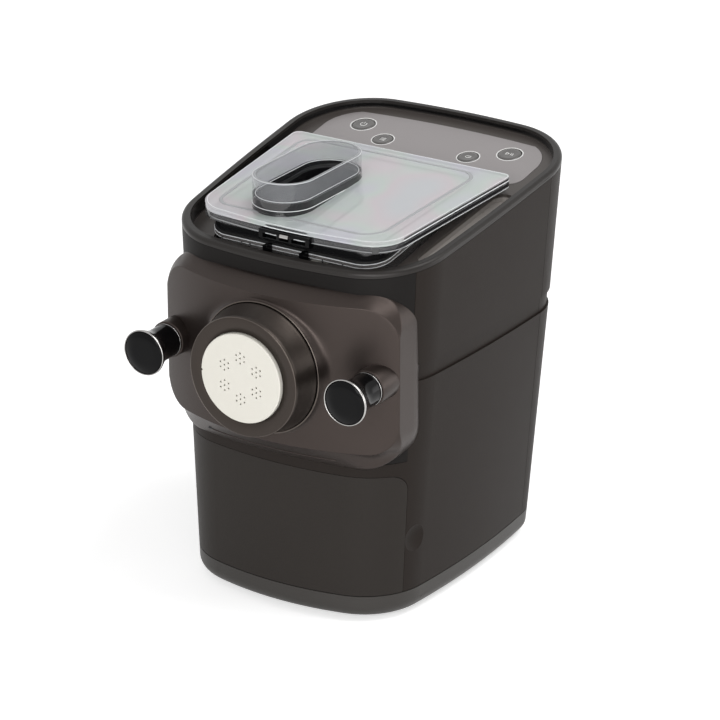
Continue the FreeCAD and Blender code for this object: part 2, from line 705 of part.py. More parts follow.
def lid():
    """Clear lid: plate, outer lip, inner skirt down to the bowl, funnel and hinge lugs."""
    low = lifted(LID_PLANE, -LID_T)
    plate = lid_plan(0.0, 240, 330).common(slab(low, LID_PLANE))
    lip = lid_plan(0.0, 240, 330).cut(lid_plan(LID_LIP_T, 239, 331))
    lip = lip.common(slab(lifted(low, -LID_LIP_H), lifted(low, 0.5)))
    lip = lip.common(box(-150, 150, -200, HINGE_Y - 10, 0, 400))
    grow = FLANGE_W - 1.5
    ring = plan_rect(BOWL_TOP_HALF + grow, BOWL_FRONT_Y - grow, BOWL_REAR_Y + grow,
                     BOWL_CORNER_R, BOWL_CORNER_R, 230, 330)
    ring = ring.cut(plan_rect(BOWL_TOP_HALF + grow - 2, BOWL_FRONT_Y - grow + 2, BOWL_REAR_Y + grow - 2,
                              BOWL_CORNER_R - 2, BOWL_CORNER_R - 2, 229, 331))
    seat = lifted(FLANGE_PLANE, GASKET_T + FIT)
    skirt = ring.common(slab(seat, lifted(low, 0.5), -200, 60))
    wall = stadium(FUNNEL_W, FUNNEL_L, FUNNEL_LOW_Z, FUNNEL_TOP_Z)
    lugs = [rod_x(LUG_R, s * HINGE_X - LUG_W / 2, s * HINGE_X + LUG_W / 2, HINGE_Y, HINGE_Z)
            .fuse(box(s * HINGE_X - LUG_W / 2, s * HINGE_X + LUG_W / 2, HINGE_Y - 2.2, HINGE_Y + 1.5,
                      HINGE_Z, height(low, HINGE_Y) + 0.5)) for s in (-1, 1)]
    shape = plate.fuse([lip, skirt, wall] + lugs)
    shape = shape.cut(stadium(FUNNEL_W - 2 * FUNNEL_WALL, FUNNEL_L - 2 * FUNNEL_WALL, 250, 300))
    shape = shape.cut(latch_space(FIT))
    shape = shape.cut(rod_x(LATCH_PIN_R + 0.05, -LATCH_HALF - 2, LATCH_HALF + 2, LATCH_Y + LATCH_PIN_BACK,
                            latch_pin_z()))
    shape = shape.cut(rod_x(HINGE_PIN_R + SHAFT_PLAY, -100, 100, HINGE_Y, HINGE_Z))
    return shape.removeSplitter()


def latch_space(gap):
    """Space of the latch lever in the lid's front lip."""
    return box(-LATCH_HALF - gap, LATCH_HALF + gap, LID_FRONT_Y - 8, LATCH_Y + 4.5 + gap,
               LATCH_Z - 8, height(LID_PLANE, LATCH_Y) - LID_T - 0.01)


def lid_latch():
    """Dark lever under the lid's front edge, with a window each side of its roller."""
    top = height(LID_PLANE, LATCH_Y) - LID_T - 0.8
    bar = box(-LATCH_HALF, LATCH_HALF, LATCH_Y - 1.5, LATCH_Y + 4.5, LATCH_Z - 4.5, top)
    bar = bar.makeFillet(1.2, [e for e in bar.Edges if abs(e.Vertexes[0].X - e.Vertexes[-1].X) > 1])
    for side in (-1, 1):
        x = side * 11.5
        bar = bar.cut(box(x - 5.5, x + 5.5, LATCH_Y - 3, LATCH_Y + 2.2, LATCH_Z - 2.6, LATCH_Z + 0.8))
    bar = bar.cut(box(-3.8, 3.8, LATCH_Y - 3, LATCH_Y + 2.2, LATCH_Z - 2.6, LATCH_Z + 2.4))
    bar = bar.cut(rod_x(LATCH_PIN_R + SHAFT_PLAY, -40, 40, LATCH_Y + LATCH_PIN_BACK, latch_pin_z()))
    return bar.cut(rod_x(0.8 + SHAFT_PLAY, -5, 5, LATCH_Y, LATCH_Z))


def latch_pin():
    """Steel pin that the latch lever turns on."""
    reach = LATCH_HALF + 1.5
    return rod_x(LATCH_PIN_R, -reach, reach, LATCH_Y + LATCH_PIN_BACK, latch_pin_z())


def latch_pin_z():
    """Height of the latch pin, just under the lid's plate."""
    return height(LID_PLANE, LATCH_Y) - LID_T - 2.2


def latch_roller():
    """Bright roller in the middle of the latch lever."""
    return rod_x(2.0, -3.3, 3.3, LATCH_Y, LATCH_Z).fuse(rod_x(0.8, -4.8, 4.8, LATCH_Y, LATCH_Z))


def latch_keeper():
    """Dark block on the front of the deck with two upright ears."""
    y0, y1 = BOWL_FRONT_Y - FLANGE_W - 7.0, BOWL_FRONT_Y - FLANGE_W - 1.2 - FIT
    foot = height(DECK_PLANE, y0)
    block = box(-KEEPER_HALF - 3, KEEPER_HALF + 3, y0, y1, foot - 1, foot + 7)
    ears = [box(s * KEEPER_HALF - EAR_W / 2, s * KEEPER_HALF + EAR_W / 2, y0 - 1.5, y1, foot - 1, foot + 13)
            for s in (-1, 1)]
    keeper = block.fuse(ears).common(slab(DECK_PLANE, (400.0, 0.0)))
    return keeper.cut(box(-7, 7, y0 - 5, y0 + 3, foot, foot + 12)).removeSplitter()


# Bowl and nozzle

def bowl_block(inset, y_inset):
    """Trough that is round below and opens a little upwards, with rounded plan corners."""
    r = BOWL_R - inset
    top = BOWL_TOP_HALF - inset
    y0, y1 = BOWL_FRONT_Y + y_inset, BOWL_REAR_Y - y_inset
    a, b = V(-r, y0, AXIS_Z), V(r, y0, AXIS_Z)
    arc = Part.Arc(a, V(0, y0, AXIS_Z - r), b).toShape()
    c, d = V(top, y0, 320), V(-top, y0, 320)
    lines = [Part.LineSegment(b, c).toShape(), Part.LineSegment(c, d).toShape(),
             Part.LineSegment(d, a).toShape()]
    trough = Part.Face(Part.Wire([arc] + lines)).extrude(V(0, y1 - y0, 0))
    plan = plan_rect(top, y0, y1, BOWL_CORNER_R - inset, BOWL_CORNER_R - inset, 100, 330)
    return trough.common(plan)


def mixing_bowl():
    """Clear trough with a flange that rests on the cradle's lip."""
    tub = bowl_block(0.0, 0.0).common(slab((0.0, 0.0), FLANGE_PLANE))
    rim = plan_rect(BOWL_TOP_HALF + FLANGE_W, BOWL_FRONT_Y - FLANGE_W, BOWL_REAR_Y + FLANGE_W,
                    BOWL_CORNER_R + FLANGE_W, BOWL_CORNER_R + FLANGE_W, 200, 330)
    rim = rim.common(slab(lifted(FLANGE_PLANE, -FLANGE_T), FLANGE_PLANE))
    bowl = tub.fuse(rim).cut(bowl_block(BOWL_WALL, BOWL_WALL))
    bowl = bowl.cut(rod_y(TUBE_SPIGOT_R + FIT, BOWL_FRONT_Y - 5, BOWL_FRONT_Y + 5))
    bowl = bowl.cut(rod_y(SEAL_R + 0.1, BOWL_REAR_Y - 5, BOWL_REAR_Y + 1))
    return bowl.removeSplitter()


def bowl_gasket():
    """Glossy dark seal on the bowl's flange."""
    grow = FLANGE_W
    outer = plan_rect(BOWL_TOP_HALF + grow, BOWL_FRONT_Y - grow, BOWL_REAR_Y + grow,
                      BOWL_CORNER_R + grow, BOWL_CORNER_R + grow, 200, 330)
    inner = plan_rect(BOWL_TOP_HALF, BOWL_FRONT_Y, BOWL_REAR_Y, BOWL_CORNER_R, BOWL_CORNER_R, 199, 331)
    return outer.cut(inner).common(slab(FLANGE_PLANE, lifted(FLANGE_PLANE, GASKET_T)))


def shaft_seal():
    """Soft ring where the shaft enters the bowl."""
    return ring_y(SHAFT_R + FIT, SEAL_R, BOWL_REAR_Y - BOWL_WALL, BOWL_REAR_Y)


def nut_back_y():
    """Rear end of the ring nut."""
    return NUT_FACE_Y + NUT_LEN


def disc_back_y():
    """Rear face of the disc's flange."""
    return NUT_FACE_Y + NUT_LIP_T + FIT + DISC_FLANGE_T


def extrusion_tube():
    """Tube from the bowl's front wall to the disc, threaded for the nut."""
    front = disc_back_y() + FIT
    back = BOWL_FRONT_Y + BOWL_WALL
    flange_y = nut_back_y() + FIT
    body = join([rod_y(THREAD_R - 1.0, front, flange_y + 1),
                 rod_y(TUBE_FLANGE_R, flange_y, flange_y + TUBE_FLANGE_T),
                 rod_y(THREAD_R - FIT, flange_y + TUBE_FLANGE_T - 1, BOWL_FRONT_Y - FIT),
                 rod_y(TUBE_SPIGOT_R, BOWL_FRONT_Y - 3, back)]
                + [rod_y(THREAD_R, y, y + 1.6) for y in (front + 3.0, front + 6.5, front + 10.0)])
    return body.cut(rod_y(TUBE_BORE_R, front - 1, back + 1))


def shaping_disc():
    """Die plate with six groups of round holes and a small locating notch."""
    flange_y = NUT_FACE_Y + NUT_LIP_T + FIT
    disc = join([rod_y(DISC_FACE_R, DISC_FACE_Y, flange_y + 1),
                 rod_y(DISC_FLANGE_R, flange_y, flange_y + DISC_FLANGE_T)])
    edge = [e for e in disc.Edges if abs(e.BoundBox.YMax - DISC_FACE_Y) < 1e-6]
    disc = disc.makeFillet(0.8, edge)
    holes = []
    for i in range(HOLE_GROUPS):
        turn = math.radians(90 + 360 * i / HOLE_GROUPS)
        gx, gz = HOLE_GROUP_PITCH_R * math.cos(turn), HOLE_GROUP_PITCH_R * math.sin(turn)
        spots = [(gx, gz)]
        for k in range(HOLES_PER_RING):
            a = turn + 2 * math.pi * k / HOLES_PER_RING
            spots.append((gx + HOLE_RING_R * math.cos(a), gz + HOLE_RING_R * math.sin(a)))
        holes += [rod_y(HOLE_R, DISC_FACE_Y - 1, disc_back_y() + 1, x, AXIS_Z + z) for x, z in spots]
    notch = rod_y(1.0, DISC_FACE_Y - 1, DISC_FACE_Y + 1.6, -DISC_FACE_R + 0.3)
    return disc.cut(holes).cut(notch)


def ring_nut():
    """Ring that screws on the tube and holds the disc by its flange."""
    back = nut_back_y()
    nut = revolved_y([(DISC_FACE_R + FIT, NUT_FACE_Y), (NUT_FACE_R - 1.2, NUT_FACE_Y),
                      (NUT_FACE_R, NUT_FACE_Y + 1.2), (NUT_BACK_R, back - 2.5), (NUT_BACK_R - 1.5, back),
                      (THREAD_R + FIT, back), (THREAD_R + FIT, NUT_FACE_Y + NUT_LIP_T),
                      (DISC_FACE_R + FIT, NUT_FACE_Y + NUT_LIP_T)])
    return nut


def extrusion_screw():
    """Core with one helical flight that runs in the tube, and a socket for the shaft."""
    front = disc_back_y() + 2.0
    back = BOWL_FRONT_Y + BOWL_WALL - 1
    core = rod_y(SCREW_CORE_R, front, BOWL_FRONT_Y + 20)
    length = back - front - SCREW_FLIGHT_T
    helix = Part.makeHelix(SCREW_PITCH, length, SCREW_CORE_R)
    x0, x1, t = SCREW_CORE_R - 1.0, SCREW_R, SCREW_FLIGHT_T
    profile = Part.makePolygon([V(x0, 0, 0), V(x1, 0, 0), V(x1, 0, t), V(x0, 0, t), V(x0, 0, 0)])
    pipe = Part.BRepOffsetAPI.MakePipeShell(Part.Wire(helix))
    pipe.setFrenetMode(True)
    pipe.add(profile)
    pipe.build()
    pipe.makeSolid()
    flight = pipe.shape()
    flight.rotate(V(0, 0, 0), V(1, 0, 0), -90)
    flight.translate(V(0, front, AXIS_Z))
    return core.fuse(flight)


def mixing_paddle():
    """Hub on the drive shaft with two arms and a long scraping blade on each."""
    hub_front, hub_back = BOWL_FRONT_Y + 20 + FIT, BOWL_REAR_Y - 8.0
    reach = BOWL_R - BOWL_WALL - 6.0
    hub = rod_y(12.0, hub_front, hub_back)
    arms = []
    for side, y in ((1, hub_front + 6), (1, hub_back - 8), (-1, hub_front + 30), (-1, hub_back - 8)):
        z0, z1 = sorted((AXIS_Z + side * 8.0, AXIS_Z + side * reach))
        arms.append(box(-3.0, 3.0, y - 3.0, y + 3.0, z0, z1))
    blades = []
    for side, y0 in ((1, hub_front + 2), (-1, hub_front + 26)):
        z0, z1 = sorted((AXIS_Z + side * (reach - 5.0), AXIS_Z + side * reach))
        blades.append(box(-3.0, 3.0, y0, hub_back - 3.0, z0, z1))
    return join([hub] + arms + blades).cut(rod_y(SHAFT_R, hub_back - 30, hub_back + 1))


# Front panel and knobs

def panel_band(skin, shrink):
    """Band bent round an upright axis; its top and bottom slope back from the face's creases."""
    profile = [(skin, PANEL_CREASE_LOW_Z + shrink), (skin, PANEL_CREASE_TOP_Z - shrink),
               (skin + PANEL_BEVEL_DEEP, PANEL_TOP_Z - shrink), (PANEL_DEEP, PANEL_TOP_Z - shrink),
               (PANEL_DEEP, PANEL_LOW_Z + shrink), (skin + PANEL_BEVEL_DEEP, PANEL_LOW_Z + shrink)]
    axis_y = PANEL_FACE_Y + PANEL_BEND_R
    corners = [V(PANEL_BEND_R - deep, axis_y, z) for deep, z in profile]
    face = Part.Face(Part.makePolygon(corners + corners[:1]))
    return face.revolve(V(0, axis_y, 0), V(0, 0, 1), -180)


def panel_prism(shrink):
    """Front view of the panel, a rounded rectangle that widens a little forwards."""
    wires = []
    for y in (PANEL_BACK_Y, PANEL_FACE_Y - 20):
        half = PANEL_BACK_HALF + PANEL_FLARE * (PANEL_BACK_Y - y) - shrink
        block = front_rect(half, PANEL_LOW_Z + shrink, PANEL_TOP_Z - shrink, PANEL_CORNER_R - shrink / 2, y, y + 1)
        face = [f for f in block.Faces if abs(f.BoundBox.YMax - y) < 1e-6][0]
        wires.append(face.OuterWire)
    return Part.makeLoft(wires, True, True)


def front_panel():
    """Curved mask over the front, sloping back all round, with the nozzle's lip and two sleeves."""
    block = panel_band(0.0, 0.0).common(panel_prism(0.0))
    hollow = panel_band(PANEL_SKIN, PANEL_RIM).common(panel_prism(PANEL_RIM))
    panel = block.cut(hollow)
    lip_r = NUT_BACK_R + FIT
    root_y = PANEL_FACE_Y + LIP_ROOT_DEEP
    lip = revolved_y([(0.0, PANEL_FACE_Y - LIP_REACH), (lip_r + LIP_W, PANEL_FACE_Y - LIP_REACH),
                      (LIP_ROOT_R, PANEL_FACE_Y), (LIP_ROOT_R, root_y), (0.0, root_y)])
    sleeves = both_sides(lambda s: rod_y(SLEEVE_R, KNOB_FOOT_Y + FIT, -84.0, s * KNOB_X))
    panel = panel.fuse([lip] + sleeves)
    panel = panel.cut(envelope(-FIT, PANEL_LOW_Z - 10, PANEL_TOP_Z + 10))
    panel = panel.cut(rod_y(lip_r, -160, -60))
    for side in (-1, 1):
        panel = panel.cut(rod_y(STUD_R + 0.5, -160, -60, side * KNOB_X))
    return panel.removeSplitter()


def knob_profile():
    """Half section of a knob from its face back to its foot, as (radius, y)."""
    y0 = KNOB_FACE_Y + 0.6
    head_back = KNOB_FACE_Y + KNOB_RING_T
    inner = KNOB_HEAD_R - KNOB_RING_W
    points = [(0.0, y0), (inner, y0), (inner, head_back), (KNOB_HEAD_R - 0.6, head_back)]
    steps = 8
    neck_y = KNOB_FACE_Y + 16.0
    for i in range(1, steps + 1):
        t = i / steps
        r = KNOB_NECK_R + (KNOB_HEAD_R - 0.6 - KNOB_NECK_R) * (1 - t) ** 2.2
        points.append((r, head_back + (neck_y - head_back) * t))
    return points + [(KNOB_FOOT_R, KNOB_FOOT_Y - 1.5), (KNOB_FOOT_R, KNOB_FOOT_Y), (0.0, KNOB_FOOT_Y)]


def knob(side):
    """Flared knob with a blind threaded bore."""
    body = revolved_y(knob_profile(), side * KNOB_X)
    return body.cut(rod_y(STUD_R + SHAFT_PLAY, STUD_TIP_Y - 1.5, KNOB_FOOT_Y + 1, side * KNOB_X))


def knob_ring(side):
    """Chrome ring round a knob's face."""
    inner, outer = KNOB_HEAD_R - KNOB_RING_W, KNOB_HEAD_R
    y0, y1 = KNOB_FACE_Y, KNOB_FACE_Y + KNOB_RING_T
    return revolved_y([(inner + 0.05, y0 + 0.4), (inner + 0.45, y0), (outer - 0.4, y0),
                       (outer, y0 + 0.7), (outer, y1 - 0.6), (outer - 0.5, y1 - 0.05),
                       (inner + 0.05, y1 - 0.05)], side * KNOB_X)


def panel_studs():
    """Threaded rods that the knobs screw on."""
    return group(rod_y(STUD_R, STUD_TIP_Y, FRONT_SEAM_Y - 1.0, s * KNOB_X) for s in (-1, 1))


# Drawer

def drawer_front():
    """Curved front that wraps round both corners."""
    wall = casing_wall(0.0, DRAWER_SKIN, SEAM_Z + JOINT_GAP, DRAWER_TOP_Z)
    return wall.common(drawer_outline(0.0))


def drawer_tray():
    """Open box behind the drawer front, its front following the curve."""
    inset = DRAWER_SKIN + FIT
    outer = envelope(inset, TRAY_LOW_Z, TRAY_TOP_Z)
    outer = outer.common(box(-TRAY_HALF, TRAY_HALF, -150, TRAY_REAR_Y, 0, 200))
    inner = envelope(inset + TRAY_WALL, TRAY_LOW_Z + TRAY_WALL, TRAY_TOP_Z + 1)
    inner = inner.common(box(-TRAY_HALF + TRAY_WALL, TRAY_HALF - TRAY_WALL, -150,
                             TRAY_REAR_Y - TRAY_WALL, 0, 200))
    return outer.cut(inner)


def drawer_bay():
    """Sleeve inside the casing that the tray slides in."""
    half = TRAY_HALF + BAY_CLEAR
    low, high = TRAY_LOW_Z - BAY_CLEAR, TRAY_TOP_Z + BAY_CLEAR
    rear = TRAY_REAR_Y + BAY_CLEAR
    outer = box(-half - BAY_WALL, half + BAY_WALL, BAY_FRONT_Y, rear + BAY_WALL,
                low - BAY_WALL, high + BAY_WALL)
    return outer.cut(box(-half, half, BAY_FRONT_Y - 1, rear, low, high))


def drawer_runners():
    """Two strips under the tray."""
    low = TRAY_LOW_Z - BAY_CLEAR
    return group(box(s * 50 - RUNNER_W / 2, s * 50 + RUNNER_W / 2, BAY_FRONT_Y + 4, TRAY_REAR_Y - 6,
                     low, TRAY_LOW_Z - FIT) for s in (-1, 1))


# Chassis and drive

def chassis_low_z():
    """Underside of the chassis floor, on the drawer bay's roof."""
    return TRAY_TOP_Z + BAY_CLEAR + BAY_WALL


def chassis():
    """Floor over the drawer bay, bulkhead behind the bowl and two cradle ribs."""
    low = chassis_low_z()
    floor = box(-72, 72, BOWL_FRONT_Y - 8, BULKHEAD_Y + BULKHEAD_T, low, low + CHASSIS_FLOOR_T)
    bulkhead = box(-BULKHEAD_HALF, BULKHEAD_HALF, BULKHEAD_Y, BULKHEAD_Y + BULKHEAD_T, 60, BULKHEAD_TOP_Z)
    cradle = rod_y(BOWL_R + FIT, -200, 200)
    ribs = [box(-50, 50, y, y + CRADLE_T, low, AXIS_Z - 26).cut(cradle) for y in (-60.0, 20.0)]
    frame = join([floor, bulkhead] + ribs).common(envelope(WALL + FIT, SEAM_Z, BULKHEAD_TOP_Z + 1))
    frame = frame.cut(rod_y(BEARING_R + 0.1, 40, 60)).cut(rod_y(BUSH_R + 0.1, 40, 60, 0, idler_z()))
    frame = frame.cut(rod_y(7.0, 40, 60, 0, motor_z()))
    posts = [rod_y(5.0, BULKHEAD_Y + BULKHEAD_T - 1, plate_y(), x, z) for x, z in plate_posts()]
    return join([frame] + posts)


def idler_z():
    """Height of the idler's axis, from the teeth that mesh with the output gear."""
    return AXIS_Z - GEAR_MODULE * (OUTPUT_TEETH + IDLER_SMALL_TEETH) / 2


def motor_z():
    """Height of the motor's axis, from the teeth that mesh with the idler."""
    return idler_z() - GEAR_MODULE * (IDLER_LARGE_TEETH + PINION_TEETH) / 2


def gear_a_y():
    """Front of the first gear stage."""
    return BULKHEAD_Y + BULKHEAD_T + 1.5


def gear_b_y():
    """Front of the second gear stage."""
    return gear_a_y() + GEAR_T + GEAR_PLAY


def plate_y():
    """Front of the gearbox plate."""
    return gear_b_y() + GEAR_T + 1.5


def plate_posts():
    """Posts between bulkhead and gearbox plate, clear of the gears."""
    return [(s * 50.0, z) for s in (-1, 1) for z in (75.0, 235.0)]


def gearbox_plate():
    """Rear plate of the gearbox, which carries bearings and motor."""
    y0 = plate_y()
    plate = front_rect(57.0, 64.0, 243.0, 8.0, y0, y0 + PLATE_T)
    plate = plate.cut(rod_y(BEARING_R + 0.1, 40, 100)).cut(rod_y(BUSH_R + 0.1, 40, 100, 0, idler_z()))
    return plate.cut(rod_y(5.0, 40, 100, 0, motor_z()))


def gear(teeth, y0, thick, z, phase):
    """Spur gear with straight-flanked teeth; phase turns its first tooth from straight up."""
    pitch_r = GEAR_MODULE * teeth / 2
    tip_r, root_r = pitch_r + 0.85 * GEAR_MODULE, pitch_r - 1.2 * GEAR_MODULE
    step = 2 * math.pi / teeth
    pts = []
    for i in range(teeth):
        a = phase + i * step
        half_root = 0.33 * step
        half_tip = 0.115 * step
        for r, off in ((root_r, -half_root), (tip_r, -half_tip), (tip_r, half_tip), (root_r, half_root)):
            pts.append(V(r * math.sin(a + off), y0, z + r * math.cos(a + off)))
    return Part.Face(Part.makePolygon(pts + pts[:1])).extrude(V(0, thick, 0))


def output_gear():
    """Large gear on the drive shaft."""
    wheel = gear(OUTPUT_TEETH, gear_b_y(), GEAR_T, AXIS_Z, 0.0)
    return wheel.cut(rod_y(SHAFT_R, 0, 200))


def drive_shaft():
    """Steel shaft from the gearbox into the paddle's hub."""
    return rod_y(SHAFT_R, BOWL_REAR_Y - 37.5, plate_y() + PLATE_T + 2.0)


def idler_gear():
    """Compound gear between motor pinion and output gear, with its axle."""
    z = idler_z()
    small_phase = math.pi / IDLER_SMALL_TEETH
    large = gear(IDLER_LARGE_TEETH, gear_a_y(), GEAR_T, z, 0.0)
    small = gear(IDLER_SMALL_TEETH, gear_a_y() + GEAR_T - 0.5, GEAR_T + GEAR_PLAY + 0.5, z, small_phase)
    return join([large, small]).cut(rod_y(AXLE_R, 0, 200, 0, z))


def idler_axle():
    """Steel axle of the idler gear."""
    return rod_y(AXLE_R, BULKHEAD_Y - 1.0, plate_y() + PLATE_T + 1.0, 0, idler_z())


def motor_pinion():
    """Small gear on the motor shaft."""
    phase = math.pi / PINION_TEETH
    wheel = gear(PINION_TEETH, gear_a_y(), GEAR_T, motor_z(), phase)
    return wheel.cut(rod_y(MOTOR_SHAFT_R, 0, 200, 0, motor_z()))


def motor_shaft():
    """Motor shaft from the pinion back to the fan."""
    return rod_y(MOTOR_SHAFT_R, gear_a_y(), fan_y() + FAN_T, 0, motor_z())


def motor_y():
    """Front of the motor can, on the gearbox plate."""
    return plate_y() + PLATE_T


def fan_y():
    """Front of the cooling fan."""
    return motor_y() + MOTOR_LEN + 1.5


def motor():
    """Motor can with a bearing hub at each end, bored for its shaft."""
    y0 = motor_y()
    can = rod_y(MOTOR_R, y0, y0 + MOTOR_LEN, 0, motor_z())
    flats = box(-MOTOR_R * 0.92, MOTOR_R * 0.92, 0, 200, 0, 300)
    return can.common(flats).cut(rod_y(MOTOR_SHAFT_R + SHAFT_PLAY, 0, 200, 0, motor_z()))


def cooling_fan():
    """Seven-blade fan on the motor shaft."""
    y0, z = fan_y(), motor_z()
    hub = rod_y(8.0, y0, y0 + FAN_T, 0, z)
    blades = []
    for i in range(7):
        blade = box(-1.0, 1.0, y0, y0 + FAN_T, z + 6.0, z + FAN_R)
        blade.rotate(V(0, y0 + FAN_T / 2, z + 17), V(0, 0, 1), 28)
        blade.rotate(V(0, 0, z), V(0, 1, 0), 360 * i / 7)
        blades.append(blade)
    fan = join([hub] + blades)
    return fan.cut(rod_y(MOTOR_SHAFT_R, 0, 200, 0, z))


def shaft_bearings():
    """Two bearings of the drive shaft and two bushes of the idler axle."""
    pieces = []
    for y0 in (BULKHEAD_Y, plate_y()):
        pieces.append(ring_y(SHAFT_R + SHAFT_PLAY, BEARING_R, y0, y0 + PLATE_T))
        pieces.append(ring_y(AXLE_R + SHAFT_PLAY, BUSH_R, y0, y0 + PLATE_T, 0, idler_z()))
    return group(pieces)


# Electrics

def main_board():
    """Control board on posts in the base, with its largest components."""
    z = BASE_Z + BASE_WALL + 6.0
    board = box(-40, 40, 56, 94, z, z + BOARD_T)
    posts = [rod_z(2.5, BASE_Z + BASE_WALL, z + 0.5, x, y) for x in (-34, 34) for y in (60, 90)]
    parts = [box(-36, -20, 60, 76, z, z + 16), rod_z(6.0, z, z + 20, 4, 70), box(16, 34, 78, 88, z, z + 12)]
    return join([board] + posts + parts)


def power_inlet():
    """Mains socket in the rear cover with its recess and two pins."""
    y1 = inlet_face_y()
    body = box(INLET_X - INLET_W / 2 + FIT, INLET_X + INLET_W / 2 - FIT, y1 - INLET_D, y1,
               INLET_Z - INLET_H / 2 + FIT, INLET_Z + INLET_H / 2 - FIT)
    recess = box(INLET_X - 10, INLET_X + 10, y1 - INLET_D + 3, y1 + 1, INLET_Z - 6, INLET_Z + 6)
    pins = [rod_y(1.2, y1 - INLET_D + 2, y1 - 3, INLET_X + s * 4.3, INLET_Z) for s in (-1, 1)]
    return join([body.cut(recess)] + pins)


def inlet_face_y():
    """Rear surface of the casing at the inlet, just inside it."""
    face = envelope(0.0, INLET_Z, INLET_Z + 1)
    cut = face.common(box(INLET_X - INLET_W / 2, INLET_X - INLET_W / 2 + 1, 50, 200, INLET_Z, INLET_Z + 1))
    return cut.BoundBox.YMax - INLET_SUNK


def lid_switch():
    """Switch under the deck that feels the closed lid."""
    y = HINGE_Y + 1
    top = height(DECK_PLANE, y - 6) - DECK_T - FIT
    x = HINGE_X + LID_SWITCH_OFF
    return box(x, x + LID_SWITCH_W, y - 6, y + 10, top - 8, top)


def main():
    """Builds every piece and writes one STEP file for each node."""
    os.makedirs("parts", exist_ok=True)
    lower, upper = lower_wall(), upper_wall()
    nodes = {
        "base_pan": base_pan(),
        "rubber_feet": rubber_feet(),
        "load_cells": load_cells(),
        "base_screws": base_screws(),
        "lower_shell": lower_shell(lower),
        "left_side_panel": side_panel(upper, -1),
        "right_side_panel": side_panel(upper, 1),
        "front_frame": front_frame(),
        "rear_cover": rear_cover(lower, upper),
        "top_frame": top_frame(),
        "control_panel": control_panel(),
        "power_button": button(BIG_BUTTON, -1),
        "menu_button": button(SMALL_BUTTON, -1),
        "weigh_button": button(SMALL_BUTTON, 1),
        "start_button": button(BIG_BUTTON, 1),
        "switch_board": switch_board(),
        "lid": lid(),
        "hinge_pins": hinge_pins(),
        "lid_latch": lid_latch(),
        "latch_pin": latch_pin(),
        "latch_roller": latch_roller(),
        "latch_keeper": latch_keeper(),
        "lid_switch": lid_switch(),
        "mixing_bowl": mixing_bowl(),
        "bowl_gasket": bowl_gasket(),
        "shaft_seal": shaft_seal(),
        "extrusion_tube": extrusion_tube(),
        "shaping_disc": shaping_disc(),
        "ring_nut": ring_nut(),
        "extrusion_screw": extrusion_screw(),
        "mixing_paddle": mixing_paddle(),
        "front_panel": front_panel(),
        "left_knob": knob(-1),
        "right_knob": knob(1),
        "left_knob_ring": knob_ring(-1),
        "right_knob_ring": knob_ring(1),
        "panel_studs": panel_studs(),
        "drawer_front": drawer_front(),
        "drawer_tray": drawer_tray(),
        "drawer_bay": drawer_bay(),
        "drawer_runners": drawer_runners(),
        "chassis": chassis(),
        "gearbox_plate": gearbox_plate(),
        "output_gear": output_gear(),
        "drive_shaft": drive_shaft(),
        "idler_gear": idler_gear(),
        "idler_axle": idler_axle(),
        "motor_pinion": motor_pinion(),
        "motor_shaft": motor_shaft(),
        "motor": motor(),
        "cooling_fan": cooling_fan(),
        "shaft_bearings": shaft_bearings(),
        "main_board": main_board(),
        "power_inlet": power_inlet(),
    }
    for name, shape in nodes.items():
        shape.exportStep("parts/" + name + ".step")
        print(name, len(shape.Solids), "solids", round(shape.Volume), "mm3", "ok" if shape.isValid() else "BAD")


main()
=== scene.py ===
"""Looks of the electric pasta maker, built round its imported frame. Metres, +Z up."""
import json
import math

import bmesh
import bpy
import numpy as np
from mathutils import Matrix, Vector


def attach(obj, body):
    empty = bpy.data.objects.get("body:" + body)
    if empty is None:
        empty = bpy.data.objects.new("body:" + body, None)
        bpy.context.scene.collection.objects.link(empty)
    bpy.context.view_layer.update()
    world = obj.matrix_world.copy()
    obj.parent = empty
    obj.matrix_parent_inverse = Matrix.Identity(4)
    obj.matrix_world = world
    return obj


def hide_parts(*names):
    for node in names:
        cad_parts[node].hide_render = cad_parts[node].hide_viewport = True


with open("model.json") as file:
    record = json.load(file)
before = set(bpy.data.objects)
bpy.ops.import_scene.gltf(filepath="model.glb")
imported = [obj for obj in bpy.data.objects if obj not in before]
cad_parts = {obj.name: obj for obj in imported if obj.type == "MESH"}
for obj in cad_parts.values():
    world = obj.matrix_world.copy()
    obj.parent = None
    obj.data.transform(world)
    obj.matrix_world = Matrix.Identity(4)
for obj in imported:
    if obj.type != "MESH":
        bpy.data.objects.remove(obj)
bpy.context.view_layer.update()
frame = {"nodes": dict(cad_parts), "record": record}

NODES = frame["nodes"]
MM = 0.001
SLOTS = {row["node"]: row["material_slot"] for row in frame["record"]["subparts"]}

# Places and sizes, in millimetres
AXIS_Z = 183.7
KNOB_X = 80.3
DECK_PLANE = (260.7, 0.17)
RIM_PLANE = (266.3, 0.14)
LID_PLANE = (278.6, 0.063)
FLANGE_PLANE = (268.7, 0.15)

